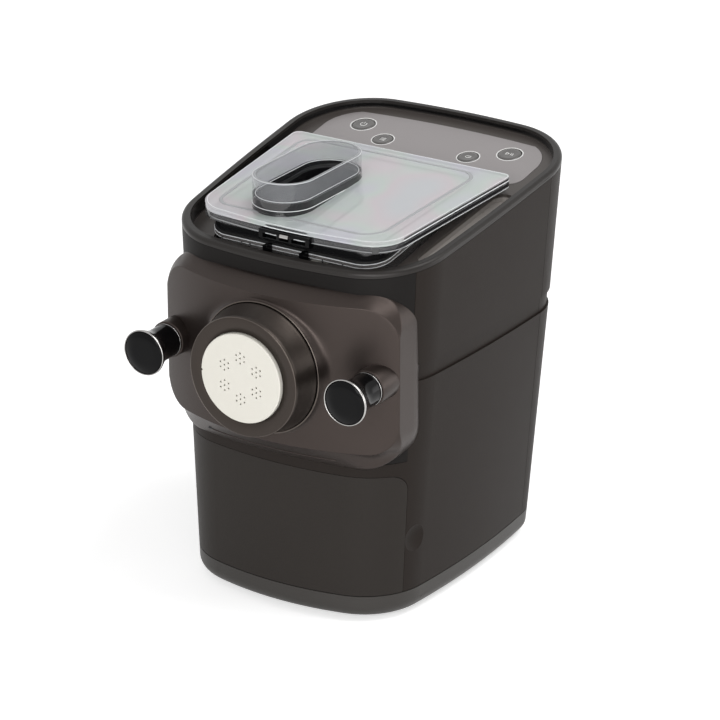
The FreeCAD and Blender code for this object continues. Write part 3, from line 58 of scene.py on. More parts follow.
MASK = dict(back_y=-66.0, half=93.4, low=115.5, top=242.5, crease_low=130.5, crease_top=235.5,
            outer_r=(30.0, 24.0), crease_r=(20.0, 23.0), face_y=-117.0, bend_r=190.7, bevel=14.0,
            slope_run=6.5, lip_blend=3.2, crease_in=0.3, inner_share=0.965, steps=432)
FUNNEL = dict(x=-22.0, y=-26.0, width=45.0, length=99.0, top=297.0, step=283.2)
LID = dict(front_y=-86.0, rear_y=61.0, half=83.1, gain=0.082, front_r=24.0, rear_r=5.0, bow=4.0)
LID_SKIRT_RISE = -3.1
SKIRT = dict(half=68.5, front_y=-81.5, rear_y=50.5)
FLANGE = dict(half=65.0, front_y=-78.0, rear_y=47.0, corner_r=14.0)
RIBS = dict(x=(-54.3, -38.5, -31.6, 26.5, 42.4, 60.0), y=-82.5, z=251.4, half=(0.4, 0.4, 3.0))
NUT = dict(face_y=-139.5, back_y=-119.0, seat_r=36.3, mouth_r=31.8, flank_r=42.5, back_r=45.5)
NUT_STEPS = 160
KNOB = dict(face_y=-140.4, foot_y=-112.0, head_r=15.8, neck_r=11.5, foot_r=11.7, bore_r=4.05,
            rim_r=15.75, collar_r=11.6)
SLEEVE = dict(r=12.8, bore_r=4.6, front_y=-111.7)
FINGER_LINE = dict(left_x=-50.0, right_x=50.5, share=0.55, r=0.45)
FINGER_HOLE = dict(x=-49.0, share=0.52, half_long=3.4, half_high=1.1, sunk=0.8, proud=0.12)

# Corners of the groove in the lid's plate, each with its radius
GROOVE = [((-66.5, -73.0), 13.0), ((61.5, -73.0), 17.0), ((67.5, 51.5), 13.0), ((-75.0, 51.5), 10.0)]

# Middle and radius of each button
BUTTONS = dict(power=(-60.2, 105.7, 8.4), menu=(-35.0, 91.3, 7.3), weigh=(35.0, 91.3, 7.3),
               start=(60.2, 105.7, 8.4))

# Radius of a button's stem and how far under the deck it ends
BUTTON_STEM = (2.5, 4.9)

# Printed line of a button's sign
SIGN_LINE = dict(width=0.55, rise=0.42, thick=0.12)

# Lines round the lid: name, inset, rise, half width, half height and finish; the near-white lines are
# painted highlights and the dark ones painted shade
LID_LINES = [("lid_edge_top", 0.4, -0.3, 0.38, 0.36, "edge_highlight"),
             ("lid_edge_shade", 0.0, -1.6, 0.2, 0.8, "edge_dark"),
             ("lid_edge_low", 0.0, -3.0, 0.25, 0.3, "edge_highlight"),
             ("lid_lip_shade", 0.0, -5.6, 0.16, 1.5, "edge_dark"),
             ("lid_edge_foot", 0.3, -7.7, 0.4, 0.3, "edge_highlight")]

# Lines round the funnel: name, distance out from its outside, height, half width, half height, finish; the
# near-white lines are painted highlights
FUNNEL_LINES = [("funnel_rim", -0.3, FUNNEL["top"] - 0.3, 0.3, 0.3, "edge_highlight"),
                ("funnel_rim_inner", -1.95, FUNNEL["top"] - 0.3, 0.25, 0.3, "groove_grey"),
                ("funnel_step", -2.05, FUNNEL["step"] + 0.1, 0.3, 0.25, "edge_highlight"),
                ("funnel_foot", 0.15, 277.6, 0.3, 0.2, "edge_highlight")]

# Lines round the bowl's flange: name, distance out, rise, half width and half height; they are painted
# highlights
FLANGE_LINES = [("flange_edge_top", 4.05, -0.3, 0.3, 0.3), ("flange_edge_low", 4.0, -2.9, 0.25, 0.25)]

# Ray search of a rounded rectangle: longest ray in millimetres and number of halvings
RAY_REACH = 400.0
RAY_HALVINGS = 40

# Camera, as the photograph was taken, in metres and degrees
CAMERA_AT = (1.30886, -2.06131, 1.15551)
CAMERA_AZIMUTH = 32.34
CAMERA_ELEVATION = 22.43
CAMERA_LENS = 190.0

# Lamps: place and aim in metres, width in metres and power in watts
LAMPS = dict(Key=((0.4, -2.0, 0.8), (0, 0, 0.15), 1.0, 18.0),
             Side=((1.9, 1.2, 0.25), (0, 0, 0.15), 1.6, 18.0),
             Top=((0.9, 0.3, 1.9), (0, 0, 0.15), 1.2, 18.0),
             Low=((0.9, -1.3, 0.12), (0, -0.1, 0.12), 0.9, 10.0))
WORLD_LIGHT = 0.45
WORLD_SEEN = 0.55
FLOOR_HALF = 3000.0
FLOOR_TONE = 0.9
FLOOR_GLOW = 0.5


# Node groups

def new_group(name, inputs, outputs):
    """Empty shader group with float, colour or vector sockets; returns tree, input and output nodes."""
    tree = bpy.data.node_groups.new(name, "ShaderNodeTree")
    for label, kind, value in inputs:
        socket = tree.interface.new_socket(label, in_out="INPUT", socket_type="NodeSocket" + kind)
        socket.default_value = value
    for label, kind in outputs:
        tree.interface.new_socket(label, in_out="OUTPUT", socket_type="NodeSocket" + kind)
    return tree, tree.nodes.new("NodeGroupInput"), tree.nodes.new("NodeGroupOutput")


def group_noise(tree, scale, detail):
    """Noise node on object coordinates; scale is a socket or a number."""
    spot = tree.nodes.new("ShaderNodeTexCoord")
    noise = tree.nodes.new("ShaderNodeTexNoise")
    noise.inputs["Detail"].default_value = detail
    tree.links.new(spot.outputs["Object"], noise.inputs["Vector"])
    if isinstance(scale, (int, float)):
        noise.inputs["Scale"].default_value = scale
    else:
        tree.links.new(scale, noise.inputs["Scale"])
    return noise


def math_node(tree, operation, a, b=None, c=None):
    """Math node; each operand is a socket or a number."""
    node = tree.nodes.new("ShaderNodeMath")
    node.operation = operation
    for i, value in enumerate((a, b, c)):
        if value is None:
            continue
        if isinstance(value, (int, float)):
            node.inputs[i].default_value = value
        else:
            tree.links.new(value, node.inputs[i])
    return node.outputs[0]


def place_axes(tree):
    """Sockets of the x, y and z place in the piece's own axes, in metres."""
    spot = tree.nodes.new("ShaderNodeTexCoord")
    split = tree.nodes.new("ShaderNodeSeparateXYZ")
    tree.links.new(spot.outputs["Object"], split.inputs[0])
    return split.outputs


def rise_over(tree, plane, y, z):
    """Height of a place over a sloping plane."""
    slope = math_node(tree, "MULTIPLY_ADD", y, plane[1], plane[0] * MM)
    return math_node(tree, "SUBTRACT", z, slope)


def ramp_up(tree, value, low, high):
    """0 below low, 1 above high and a straight rise between, or a fall where low is over high."""
    rng = tree.nodes.new("ShaderNodeMapRange")
    rng.inputs["From Min"].default_value = low
    rng.inputs["From Max"].default_value = high
    tree.links.new(value, rng.inputs["Value"])
    return rng.outputs["Result"]


def blend_value(tree, base, zones):
    """Number that is base, and takes each zone's own number where its mask is 1."""
    for mask, value in zones:
        change = math_node(tree, "SUBTRACT", value, base)
        base = math_node(tree, "MULTIPLY_ADD", change, mask, base)
    return base


def blend_colour(tree, base, zones):
    """Colour that takes each zone's own colour where its mask is 1."""
    for mask, colour in zones:
        mix = tree.nodes.new("ShaderNodeMix")
        mix.data_type = "RGBA"
        tree.links.new(mask, mix.inputs["Factor"])
        tree.links.new(base, mix.inputs["A"])
        mix.inputs["B"].default_value = colour
        base = mix.outputs["Result"]
    return base


def make_grain_group():
    """Fine moulded texture: two sizes of noise as a bump."""
    tree, start, end = new_group("Moulded grain", [("Scale", "Float", 1500.0), ("Depth", "Float", 0.1)],
                                 [("Normal", "Vector")])
    fine = group_noise(tree, start.outputs["Scale"], 1.0)
    coarse = group_noise(tree, math_node(tree, "MULTIPLY", start.outputs["Scale"], 0.31), 1.0)
    height = math_node(tree, "ADD", fine.outputs["Fac"], coarse.outputs["Fac"])
    bump = tree.nodes.new("ShaderNodeBump")
    bump.inputs["Distance"].default_value = 0.0002
    tree.links.new(start.outputs["Depth"], bump.inputs["Strength"])
    tree.links.new(height, bump.inputs["Height"])
    tree.links.new(bump.outputs["Normal"], end.inputs["Normal"])
    return tree


def make_tone_group():
    """Colour that drifts a little lighter and darker over the surface."""
    tree, start, end = new_group("Drifting tone", [("Color", "Color", (0.5, 0.5, 0.5, 1)),
                                                   ("Scale", "Float", 20.0), ("Amount", "Float", 0.1)],
                                 [("Color", "Color")])
    noise = group_noise(tree, start.outputs["Scale"], 3.0)
    centred = math_node(tree, "SUBTRACT", noise.outputs["Fac"], 0.5)
    gain = math_node(tree, "MULTIPLY_ADD", centred, start.outputs["Amount"], 1.0)
    mix = tree.nodes.new("ShaderNodeVectorMath")
    mix.operation = "SCALE"
    tree.links.new(start.outputs["Color"], mix.inputs[0])
    tree.links.new(gain, mix.inputs["Scale"])
    tree.links.new(mix.outputs[0], end.inputs["Color"])
    return tree


def make_handling_group():
    """Roughness with faint smudges from handling."""
    tree, start, end = new_group("Handling", [("Roughness", "Float", 0.4), ("Spread", "Float", 0.06)],
                                 [("Roughness", "Float")])
    wide = group_noise(tree, 9.0, 4.0)
    small = group_noise(tree, 70.0, 2.0)
    both = math_node(tree, "MULTIPLY_ADD", small.outputs["Fac"], 0.4, wide.outputs["Fac"])
    centred = math_node(tree, "SUBTRACT", both, 0.7)
    value = math_node(tree, "MULTIPLY_ADD", centred, start.outputs["Spread"], start.outputs["Roughness"])
    tree.links.new(value, end.inputs["Roughness"])
    return tree


def make_groups():
    """The three shared effects by short name."""
    return dict(grain=make_grain_group(), tone=make_tone_group(), handling=make_handling_group())


GROUPS = make_groups()


def place_group(tree, key, **values):
    """A shared effect placed in a material with its own values."""
    node = tree.nodes.new("ShaderNodeGroup")
    node.node_tree = GROUPS[key]
    for label, value in values.items():
        node.inputs[label.replace("_", " ")].default_value = value
    return node


# Materials

def srgb(red, green, blue):
    """Linear colour of an 8-bit screen colour."""
    def line(value):
        part = value / 255
        return part / 12.92 if part <= 0.04045 else ((part + 0.055) / 1.055) ** 2.4
    return (line(red), line(green), line(blue), 1.0)


def finish(name, colour, roughness, metallic=0.0, grain=None, tone=(18.0, 0.12), spread=0.06, coat=0.0,
           coat_roughness=0.05, specular=0.5):
    """Material with drifting tone, handling smudges and, where given, a moulded grain."""
    material = bpy.data.materials.new(name)
    material.use_nodes = True
    tree = material.node_tree
    shader = tree.nodes["Principled BSDF"]
    shader.inputs["Metallic"].default_value = metallic
    shader.inputs["Coat Weight"].default_value = coat
    shader.inputs["Coat Roughness"].default_value = coat_roughness
    shader.inputs["Specular IOR Level"].default_value = specular
    toned = place_group(tree, "tone", Color=colour, Scale=tone[0], Amount=tone[1])
    handled = place_group(tree, "handling", Roughness=roughness, Spread=spread)
    tree.links.new(toned.outputs["Color"], shader.inputs["Base Color"])
    tree.links.new(handled.outputs["Roughness"], shader.inputs["Roughness"])
    if grain:
        textured = place_group(tree, "grain", Scale=grain[0], Depth=grain[1])
        tree.links.new(textured.outputs["Normal"], shader.inputs["Normal"])
    return material


def clear_plastic(name, colour, face_alpha, edge_alpha, tint=0.0):
    """See-through plastic whose pale colour grows more opaque at a slant, turning it milky: a painted
    reflection of the white surroundings; tint adds faint stress colours.
    """
    material = finish(name, colour, 0.06, tone=(14.0, 0.04), spread=0.03, coat=0.6,
                      coat_roughness=0.02)
    tree = material.node_tree
    shader = tree.nodes["Principled BSDF"]
    # Painted reflection: the pale colour's opacity grows at a slant.
    slant = tree.nodes.new("ShaderNodeLayerWeight")
    slant.inputs["Blend"].default_value = 0.35
    rng = tree.nodes.new("ShaderNodeMapRange")
    rng.inputs["To Min"].default_value = face_alpha
    rng.inputs["To Max"].default_value = edge_alpha
    tree.links.new(slant.outputs["Facing"], rng.inputs["Value"])
    tree.links.new(rng.outputs["Result"], shader.inputs["Alpha"])
    if tint:
        add_stress_colours(tree, shader, tint)
    return material


def add_stress_colours(tree, shader, amount):
    """Faint pink, green and lilac clouds, mixed over what feeds the base colour."""
    source = shader.inputs["Base Color"].links[0].from_socket
    noise = group_noise(tree, 16.0, 1.0)
    ramp = tree.nodes.new("ShaderNodeValToRGB")
    stops = [(0.30, srgb(214, 216, 222)), (0.42, srgb(236, 205, 214)), (0.50, srgb(205, 228, 208)),
             (0.60, srgb(214, 206, 232)), (0.72, srgb(214, 216, 222))]
    ramp.color_ramp.elements[0].position, ramp.color_ramp.elements[0].color = stops[0]
    ramp.color_ramp.elements[1].position, ramp.color_ramp.elements[1].color = stops[-1]
    for position, colour in stops[1:-1]:
        ramp.color_ramp.elements.new(position).color = colour
    mix = tree.nodes.new("ShaderNodeMix")
    mix.data_type = "RGBA"
    mix.inputs["Factor"].default_value = amount
    tree.links.new(noise.outputs["Fac"], ramp.inputs["Fac"])
    tree.links.new(source, mix.inputs["A"])
    tree.links.new(ramp.outputs["Color"], mix.inputs["B"])
    tree.links.new(mix.outputs["Result"], shader.inputs["Base Color"])


def feeding(shader, label):
    """The socket that feeds one of the shader's inputs."""
    return shader.inputs[label].links[0].from_socket


def lid_plastic():
    """Clear lid: milky plate as a painted reflection, grey lip with painted shade, funnel clear over its
    step and near black under it as painted shade, dark skirt.
    """
    # The plate's pale milky colour is a painted reflection of the white surroundings.
    material = clear_plastic("Clear lid", srgb(208, 211, 214), 0.52, 0.8, tint=0.35)
    tree = material.node_tree
    shader = tree.nodes["Principled BSDF"]
    x, y, z = place_axes(tree)
    rise = rise_over(tree, LID_PLANE, y, z)
    off_x = math_node(tree, "SUBTRACT", x, FUNNEL["x"] * MM)
    off_y = math_node(tree, "ABSOLUTE", math_node(tree, "SUBTRACT", y, FUNNEL["y"] * MM))
    straight = (FUNNEL["length"] - FUNNEL["width"]) / 2 * MM
    past = math_node(tree, "MAXIMUM", math_node(tree, "SUBTRACT", off_y, straight), 0.0)
    reach = math_node(tree, "SQRT", math_node(tree, "ADD", math_node(tree, "MULTIPLY", off_x, off_x),
                                              math_node(tree, "MULTIPLY", past, past)))
    funnel = math_node(tree, "LESS_THAN", reach, (FUNNEL["width"] / 2 + 0.15) * MM)
    over = ramp_up(tree, z, FUNNEL["step"] * MM - 0.0002, FUNNEL["step"] * MM + 0.0002)
    clear_top = math_node(tree, "MULTIPLY", funnel, over)
    funnel_shade = math_node(tree, "SUBTRACT", funnel, clear_top)
    low = math_node(tree, "MULTIPLY", math_node(tree, "LESS_THAN", rise, LID_SKIRT_RISE * MM),
                    math_node(tree, "SUBTRACT", 1.0, funnel))
    mid_y = (SKIRT["front_y"] + SKIRT["rear_y"]) / 2 * MM
    half_y = (SKIRT["rear_y"] - SKIRT["front_y"]) / 2 * MM
    from_mid = math_node(tree, "ABSOLUTE", math_node(tree, "SUBTRACT", y, mid_y))
    across = math_node(tree, "LESS_THAN", math_node(tree, "ABSOLUTE", x), SKIRT["half"] * MM)
    along = math_node(tree, "LESS_THAN", from_mid, half_y)
    skirt = math_node(tree, "MULTIPLY", low, math_node(tree, "MULTIPLY", across, along))
    lip = math_node(tree, "SUBTRACT", low, skirt)
    # Painted shade: near black in the funnel under its step and darker grey on the lip, where the dark bowl
    # shows through.
    colour = blend_colour(tree, feeding(shader, "Base Color"),
                          [(funnel_shade, srgb(20, 20, 22)), (skirt, srgb(22, 22, 23)),
                           (clear_top, srgb(150, 152, 156)), (lip, srgb(70, 70, 72))])
    alpha = blend_value(tree, feeding(shader, "Alpha"),
                        [(funnel_shade, 0.86), (skirt, 1.0), (clear_top, 0.26), (lip, 0.4)])
    tree.links.new(colour, shader.inputs["Base Color"])
    tree.links.new(alpha, shader.inputs["Alpha"])
    return material


def top_frame_paint():
    """Top moulding: dark rim, satin deck, recess floors made pale as painted light against the lid's
    shadow, and the inner wall under the rim made gloss black as painted shade.

    They are told apart by their height over the sloping planes and by the way they face.
    """
    material = finish("Top frame", srgb(33, 30, 28), 0.34, metallic=0.2, grain=(3200.0, 0.12),
                      specular=0.28)
    tree = material.node_tree
    shader = tree.nodes["Principled BSDF"]
    x, y, z = place_axes(tree)
    deck = ramp_up(tree, rise_over(tree, DECK_PLANE, y, z), 0.0022, 0.0003)
    # Painted light: recess floors below the deck made pale against the lid's shadow.
    floor = ramp_up(tree, rise_over(tree, DECK_PLANE, y, z), -0.0018, -0.0026)
    facing = tree.nodes.new("ShaderNodeNewGeometry")
    outward = tree.nodes.new("ShaderNodeVectorMath")
    outward.operation = "DOT_PRODUCT"
    flat = tree.nodes.new("ShaderNodeCombineXYZ")
    tree.links.new(x, flat.inputs["X"])
    tree.links.new(math_node(tree, "SUBTRACT", y, 0.02), flat.inputs["Y"])
    tree.links.new(facing.outputs["Normal"], outward.inputs[0])
    tree.links.new(flat.outputs[0], outward.inputs[1])
    # Painted shade: the inner wall facing in under the rim made near black.
    inward = ramp_up(tree, outward.outputs["Value"], -0.03, -0.06)
    under = ramp_up(tree, rise_over(tree, RIM_PLANE, y, z), 0.0026, 0.0016)
    wall = math_node(tree, "MULTIPLY", math_node(tree, "MULTIPLY", inward, under),
                     math_node(tree, "SUBTRACT", 1.0, deck))
    colour = blend_colour(tree, feeding(shader, "Base Color"),
                          [(deck, srgb(72, 67, 64)), (wall, srgb(12, 11, 11)),
                           (floor, srgb(150, 145, 141))])
    rough = blend_value(tree, feeding(shader, "Roughness"), [(deck, 0.36), (wall, 0.14)])
    tree.links.new(colour, shader.inputs["Base Color"])
    tree.links.new(rough, shader.inputs["Roughness"])
    return material


def make_materials():
    """One finish for each material slot of the record, and a few for the fine pieces."""
    return {
        "casing": finish("Casing", srgb(33, 28, 25), 0.5, grain=(2600.0, 0.3), specular=0.1),
        "drawer_dark": finish("Drawer", srgb(36, 32, 29), 0.52, grain=(2600.0, 0.3), specular=0.16),
        "base": finish("Base pan", srgb(44, 41, 38), 0.46, grain=(2600.0, 0.3), specular=0.35),
        # Front frame: the casing's plastic made darker, painted shade above the mask.
        "frame_shaded": finish("Front frame shaded", srgb(22, 20, 19), 0.5, grain=(2600.0, 0.2),
                             specular=0.1),
        "top_frame": top_frame_paint(),
        "bronze": finish("Bronze paint", srgb(58, 51, 48), 0.36, metallic=0.75, grain=(4200.0, 0.2),
                         specular=0.3),
        "nut_dark": finish("Nut paint", srgb(56, 50, 46), 0.32, metallic=0.75, grain=(4200.0, 0.2),
                           specular=0.3),
        # Lighter bronze beads on the nut's face edge and the mask's lip: painted highlights.
        "bronze_highlight": finish("Bronze highlight", srgb(88, 81, 76), 0.3, metallic=0.9,
                              tone=(60.0, 0.1)),
        "panel_satin": finish("Control panel", srgb(143, 138, 138), 0.34, metallic=0.2,
                              grain=(3000.0, 0.1)),
        "button_dark": finish("Button caps", srgb(66, 63, 61), 0.24, coat=0.5),
        "clear": clear_plastic("Clear plastic", srgb(150, 146, 145), 0.3, 0.66),
        "clear_lid": lid_plastic(),
        "inner_black": finish("Gloss black", srgb(20, 19, 19), 0.18, coat=0.3, specular=0.3),
        "gloss_black": finish("Knob black", srgb(9, 9, 10), 0.14, specular=0.1),
        "chrome": finish("Chrome", srgb(170, 168, 166), 0.1, metallic=1.0, tone=(30.0, 0.03),
                         spread=0.03),
        "steel": finish("Turned steel", srgb(170, 170, 172), 0.3, metallic=1.0, grain=(5000.0, 0.2)),
        "rubber": finish("Rubber", srgb(24, 24, 24), 0.45, grain=(1800.0, 0.4)),
        "nozzle_grey": finish("Tube plastic", srgb(110, 110, 112), 0.4, grain=(2000.0, 0.1)),
        "disc_white": finish("Disc plastic", srgb(206, 203, 194), 0.45, tone=(40.0, 0.03),
                             grain=(2200.0, 0.1)),
        "gear_white": finish("Gear plastic", srgb(224, 222, 212), 0.4, tone=(40.0, 0.05)),
        "circuit": finish("Circuit board", srgb(36, 92, 58), 0.3, tone=(160.0, 0.5), coat=0.4),
        "motor_can": finish("Motor can", srgb(165, 167, 170), 0.32, metallic=1.0,
                            grain=(3000.0, 0.2)),
        "brass": finish("Sintered brass", srgb(196, 160, 92), 0.38, metallic=1.0, grain=(3500.0, 0.4)),
        "white_print": finish("White print", srgb(236, 236, 234), 0.5, tone=(60.0, 0.05)),
        # Near-white lines on clear edges: painted highlights.
        "edge_highlight": finish("Lid edge", srgb(238, 240, 242), 0.12, tone=(60.0, 0.05), coat=0.5),
        "edge_dark": finish("Lid edge shade", srgb(34, 34, 36), 0.15, tone=(60.0, 0.1), coat=0.5),
        "groove_grey": finish("Lid groove", srgb(158, 160, 162), 0.3, tone=(60.0, 0.05)),
        # Near-black slab for the finger hole: painted shade.
        "hole_shade": finish("Hole shade", srgb(14, 13, 13), 0.7, tone=(60.0, 0.1)),
    }


MATERIALS = make_materials()


def dress(thing, key):
    """Gives an object one of the finishes as its only material."""
    thing.data.materials.clear()
    thing.data.materials.append(MATERIALS[key])


OWN_FINISH = {"lid": "clear_lid", "top_frame": "top_frame", "front_frame": "frame_shaded", "base_pan": "base",
              "lid_latch": "gloss_black", "latch_keeper": "gloss_black"}


def dress_nodes():
    """Every carried-over node takes its own finish, or else that of its slot."""
    for name, node in NODES.items():
        dress(node, OWN_FINISH.get(name, SLOTS[name]))


# Computed surfaces

def surface(name, points, wrap_u=False, wrap_v=False, cap_start=False, cap_end=False):
    """Quad mesh on an array of points, rows by columns by 3, in millimetres.

    Columns join up where wrap_u is set and rows where wrap_v is; a cap closes the first or last row.
    """
    rows, columns = points.shape[:2]
    row = np.arange(rows if wrap_v else rows - 1)
    column = np.arange(columns if wrap_u else columns - 1)
    i, j = np.meshgrid(row, column, indexing="ij")
    i2, j2 = (i + 1) % rows, (j + 1) % columns
    quads = np.stack([i * columns + j, i * columns + j2, i2 * columns + j2, i2 * columns + j], -1)
    faces = quads.reshape(-1, 4).tolist()
    if cap_start:
        faces.append(list(range(columns))[::-1])
    if cap_end:
        faces.append(list(range((rows - 1) * columns, rows * columns)))
    mesh = bpy.data.meshes.new(name)
    mesh.from_pydata((points.reshape(-1, 3) * MM).tolist(), [], faces)
    mesh.polygons.foreach_set("use_smooth", [True] * len(faces))
    mesh.update()
    thing = bpy.data.objects.new(name, mesh)
    bpy.context.scene.collection.objects.link(thing)
    return thing


def outwards(thing, weld=True):
    """Welds doubles and turns every face outwards."""
    work = bmesh.new()
    work.from_mesh(thing.data)
    if weld:
        bmesh.ops.remove_doubles(work, verts=work.verts, dist=1e-6)
    bmesh.ops.recalc_face_normals(work, faces=work.faces)
    work.to_mesh(thing.data)
    work.free()
    return thing


def soften(thing, levels):
    """Subdivision surface, the same in view and render."""
    modifier = thing.modifiers.new("Soft", "SUBSURF")
    modifier.levels = modifier.render_levels = levels
    return thing


def place(thing, body, key, replaced=()):
    """Finish, body and replaced nodes of a new piece."""
    dress(thing, key)
    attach(thing, body)
    if replaced:
        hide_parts(*replaced)
    return thing


def rounded_rect(angles, half, low, high, radii, centre_z):
    """Points of a rounded rectangle where rays at these angles from (0, centre_z) cross it.

    Radii are those of the lower and upper corners. Each ray's length is found by bisection on the
    rectangle's signed distance.
    """
    direction = np.stack([np.cos(angles), np.sin(angles)], -1)
    middle = np.array([0.0, (low + high) / 2 - centre_z])
    near, far = np.zeros(len(angles)), np.full(len(angles), RAY_REACH)
    for _ in range(RAY_HALVINGS):
        length = (near + far) / 2
        offset = direction * length[:, None] - middle
        radius = np.where(offset[:, 1] > 0, radii[1], radii[0])
        offset = np.abs(offset) - (np.array([half, (high - low) / 2]) - radius[:, None])
        outside = np.linalg.norm(np.maximum(offset, 0), axis=1) + np.minimum(offset.max(1), 0) - radius
        near, far = np.where(outside < 0, length, near), np.where(outside < 0, far, length)
    return direction * ((near + far) / 2)[:, None]


def even_angles(count):
    """Angles once round, starting to the right."""
    return np.linspace(0, 2 * math.pi, count, endpoint=False)


def mask_face_y(x):
    """Depth of the bent face: a circle of the bend radius seen from above."""
    return MASK["face_y"] + MASK["bend_r"] - np.sqrt(MASK["bend_r"] ** 2 - x ** 2)


def front_mask():
    """Bronze mask: rings of points from the nozzle's lip over the bent face and the sloping edge.

    A ring blends the lip's circle into the crease outline; the slope goes from the crease outline to
    the outer outline while its depth grows with their distance, and the side runs straight back.
    """
    angles = even_angles(MASK["steps"])
    m = MASK
    crease = rounded_rect(angles, m["half"] - m["crease_in"], m["crease_low"], m["crease_top"],
                          m["crease_r"], AXIS_Z)
    outer = rounded_rect(angles, m["half"], m["low"], m["top"], m["outer_r"], AXIS_Z)
    apart = np.linalg.norm(outer - crease, axis=1)
    depth = m["bevel"] * np.clip((apart - m["crease_in"]) / m["slope_run"], 0.03, 1)
    circle = np.stack([np.cos(angles), np.sin(angles)], -1)
    lip_r = NUT["back_r"] + 0.08

    def ring(flat, y):
        return np.stack([flat[:, 0], np.broadcast_to(y, len(angles)), AXIS_Z + flat[:, 1]], -1)

    lip = [(lip_r, -104.0), (lip_r, m["face_y"] - 1.9), (lip_r + 0.15, m["face_y"] - 2.0),
           (lip_r + 0.5, m["face_y"] - 1.9), (lip_r + 0.95, m["face_y"] - 1.3),
           (lip_r + 1.4, m["face_y"] + 0.4)]
    rings = [ring(circle * r, y) for r, y in lip]
    root = circle * (lip_r + m["lip_blend"])
    rings.append(ring(root, mask_face_y(root[:, 0])))
    for share in (0.1, 0.25, 0.45, 0.65, 0.82, 0.93, 0.98, 0.994):
        flat = root + (crease - root) * share
        rings.append(ring(flat, mask_face_y(flat[:, 0])))
    crease_y = mask_face_y(crease[:, 0])
    for share in (0.0, 0.04, 0.12, 0.3, 0.6, 0.86, 1.0):
        flat = crease + (outer - crease) * share
        rings.append(ring(flat, crease_y + 0.25 + (depth - 0.25) * share))
    start_y = crease_y + depth
    for share in (0.06, 0.3, 0.65, 1.0):
        rings.append(ring(outer, start_y + (m["back_y"] - start_y) * share))
    inner = outer * m["inner_share"]
    rings += [ring(inner, m["back_y"]), ring(inner * 0.99, m["back_y"] - 8.0)]
    mask = surface("front_mask", np.array(rings), wrap_u=True)
    outwards(mask, weld=False)
    soften(mask, 1)
    return mask


def bevel_point(x, share):
    """Place on the mask's lower bevel at a share of its way from the crease to the lower edge."""
    z = MASK["crease_low"] - (MASK["crease_low"] - MASK["low"]) * share
    start_x = x * (AXIS_Z - MASK["crease_low"]) / (AXIS_Z - z)
    return np.array([x, mask_face_y(start_x) + MASK["bevel"] * share, z])


def finger_line():
    """Fine raised line along the mask's lower bevel: a thin tube half sunk in it."""
    turn = even_angles(10)
    circle = FINGER_LINE["r"] * np.stack([0 * turn, np.cos(turn), np.sin(turn)], -1)
    places = np.linspace(FINGER_LINE["left_x"], FINGER_LINE["right_x"], 60)
    rows = [bevel_point(x, FINGER_LINE["share"]) + circle for x in places]
    return outwards(surface("finger_line", np.array(rows), wrap_u=True, cap_start=True, cap_end=True))


def finger_hole():
    """Near-black slab at the left end of the finger line: painted shade of a small opening."""
    turn = even_angles(28)
    hole = FINGER_HOLE
    centre = bevel_point(hole["x"], hole["share"])
    slope = bevel_point(hole["x"], hole["share"] + 0.1) - centre
    slope /= np.linalg.norm(slope)
    out = np.array([0.0, slope[2], -slope[1]])
    ring = (centre + np.outer(np.cos(turn), [hole["half_long"], 0, 0])
            + np.outer(np.sin(turn), slope * hole["half_high"]))
    rows = np.array([ring - out * hole["sunk"], ring + out * hole["proud"]])
    return outwards(surface("finger_hole", rows, wrap_u=True, cap_start=True, cap_end=True))


def turned(name, profile, x=0.0, steps=96):
    """Profile of (radius, y) rows turned about a line along Y at the nozzle's height."""
    angles = even_angles(steps)
    profile = np.asarray(profile, float)
    radius, y = profile[:, 0][:, None], profile[:, 1][:, None]
    points = np.stack([x + radius * np.cos(angles), y + 0 * angles,
                       AXIS_Z + radius * np.sin(angles)], -1)
    return outwards(surface(name, points, wrap_u=True))


def mask_sleeves():
    """Two sleeves that stand out of the mask behind the knobs."""
    sleeves = []
    for side, name in ((-1, "left_sleeve"), (1, "right_sleeve")):
        r, bore, y = SLEEVE["r"], SLEEVE["bore_r"], SLEEVE["front_y"]
        profile = [(bore, y + 4), (bore, y + 0.3), (bore + 0.4, y), (r - 0.6, y), (r - 0.15, y + 0.15),
                   (r, y + 0.6), (r, y + 14), (r + 0.2, y + 18), (r + 0.2, y + 26)]
        sleeves.append(turned(name, profile, side * KNOB_X))
    return sleeves


def smooth_profile(points, each=5):
    """Points along a Catmull-Rom curve through a profile's corners."""
    points = np.asarray(points, float)
    padded = np.vstack([2 * points[0] - points[1], points, 2 * points[-1] - points[-2]])
    t = np.linspace(0, 1, each, endpoint=False)[:, None]
    parts = []
    for a, b, c, d in zip(padded, padded[1:], padded[2:], padded[3:]):
        parts.append(0.5 * (2 * b + (c - a) * t + (2 * a - 5 * b + 4 * c - d) * t ** 2
                            + (3 * b - a - 3 * c + d) * t ** 3))
    return np.vstack(parts + [points[-1:]])


def bead(radius, y, wide, deep, rows=10):
    """Closed profile of a ring with an oval section."""
    turn = np.linspace(0, 2 * math.pi, rows + 1)
    return np.stack([radius + wide * np.cos(turn), y + deep * np.sin(turn)], -1)


def corner_arc(corner, before, after, radius, count=14):
    """Points of the arc that rounds a corner between two straight edges."""
    corner, before, after = (np.asarray(v, float) for v in (corner, before, after))
    to_before, to_after = before - corner, after - corner
    to_before /= np.linalg.norm(to_before)
    to_after /= np.linalg.norm(to_after)
    half = math.acos(float(np.clip(to_before @ to_after, -1, 1))) / 2
    bisector = (to_before + to_after) / np.linalg.norm(to_before + to_after)
    centre = corner + bisector * radius / math.sin(half)
    start = corner + to_before * radius / math.tan(half) - centre
    end = corner + to_after * radius / math.tan(half) - centre
    share = np.linspace(0, 1, count)[:, None]
    mixed = start * (1 - share) + end * share
    return centre + mixed / np.linalg.norm(mixed, axis=1)[:, None] * radius


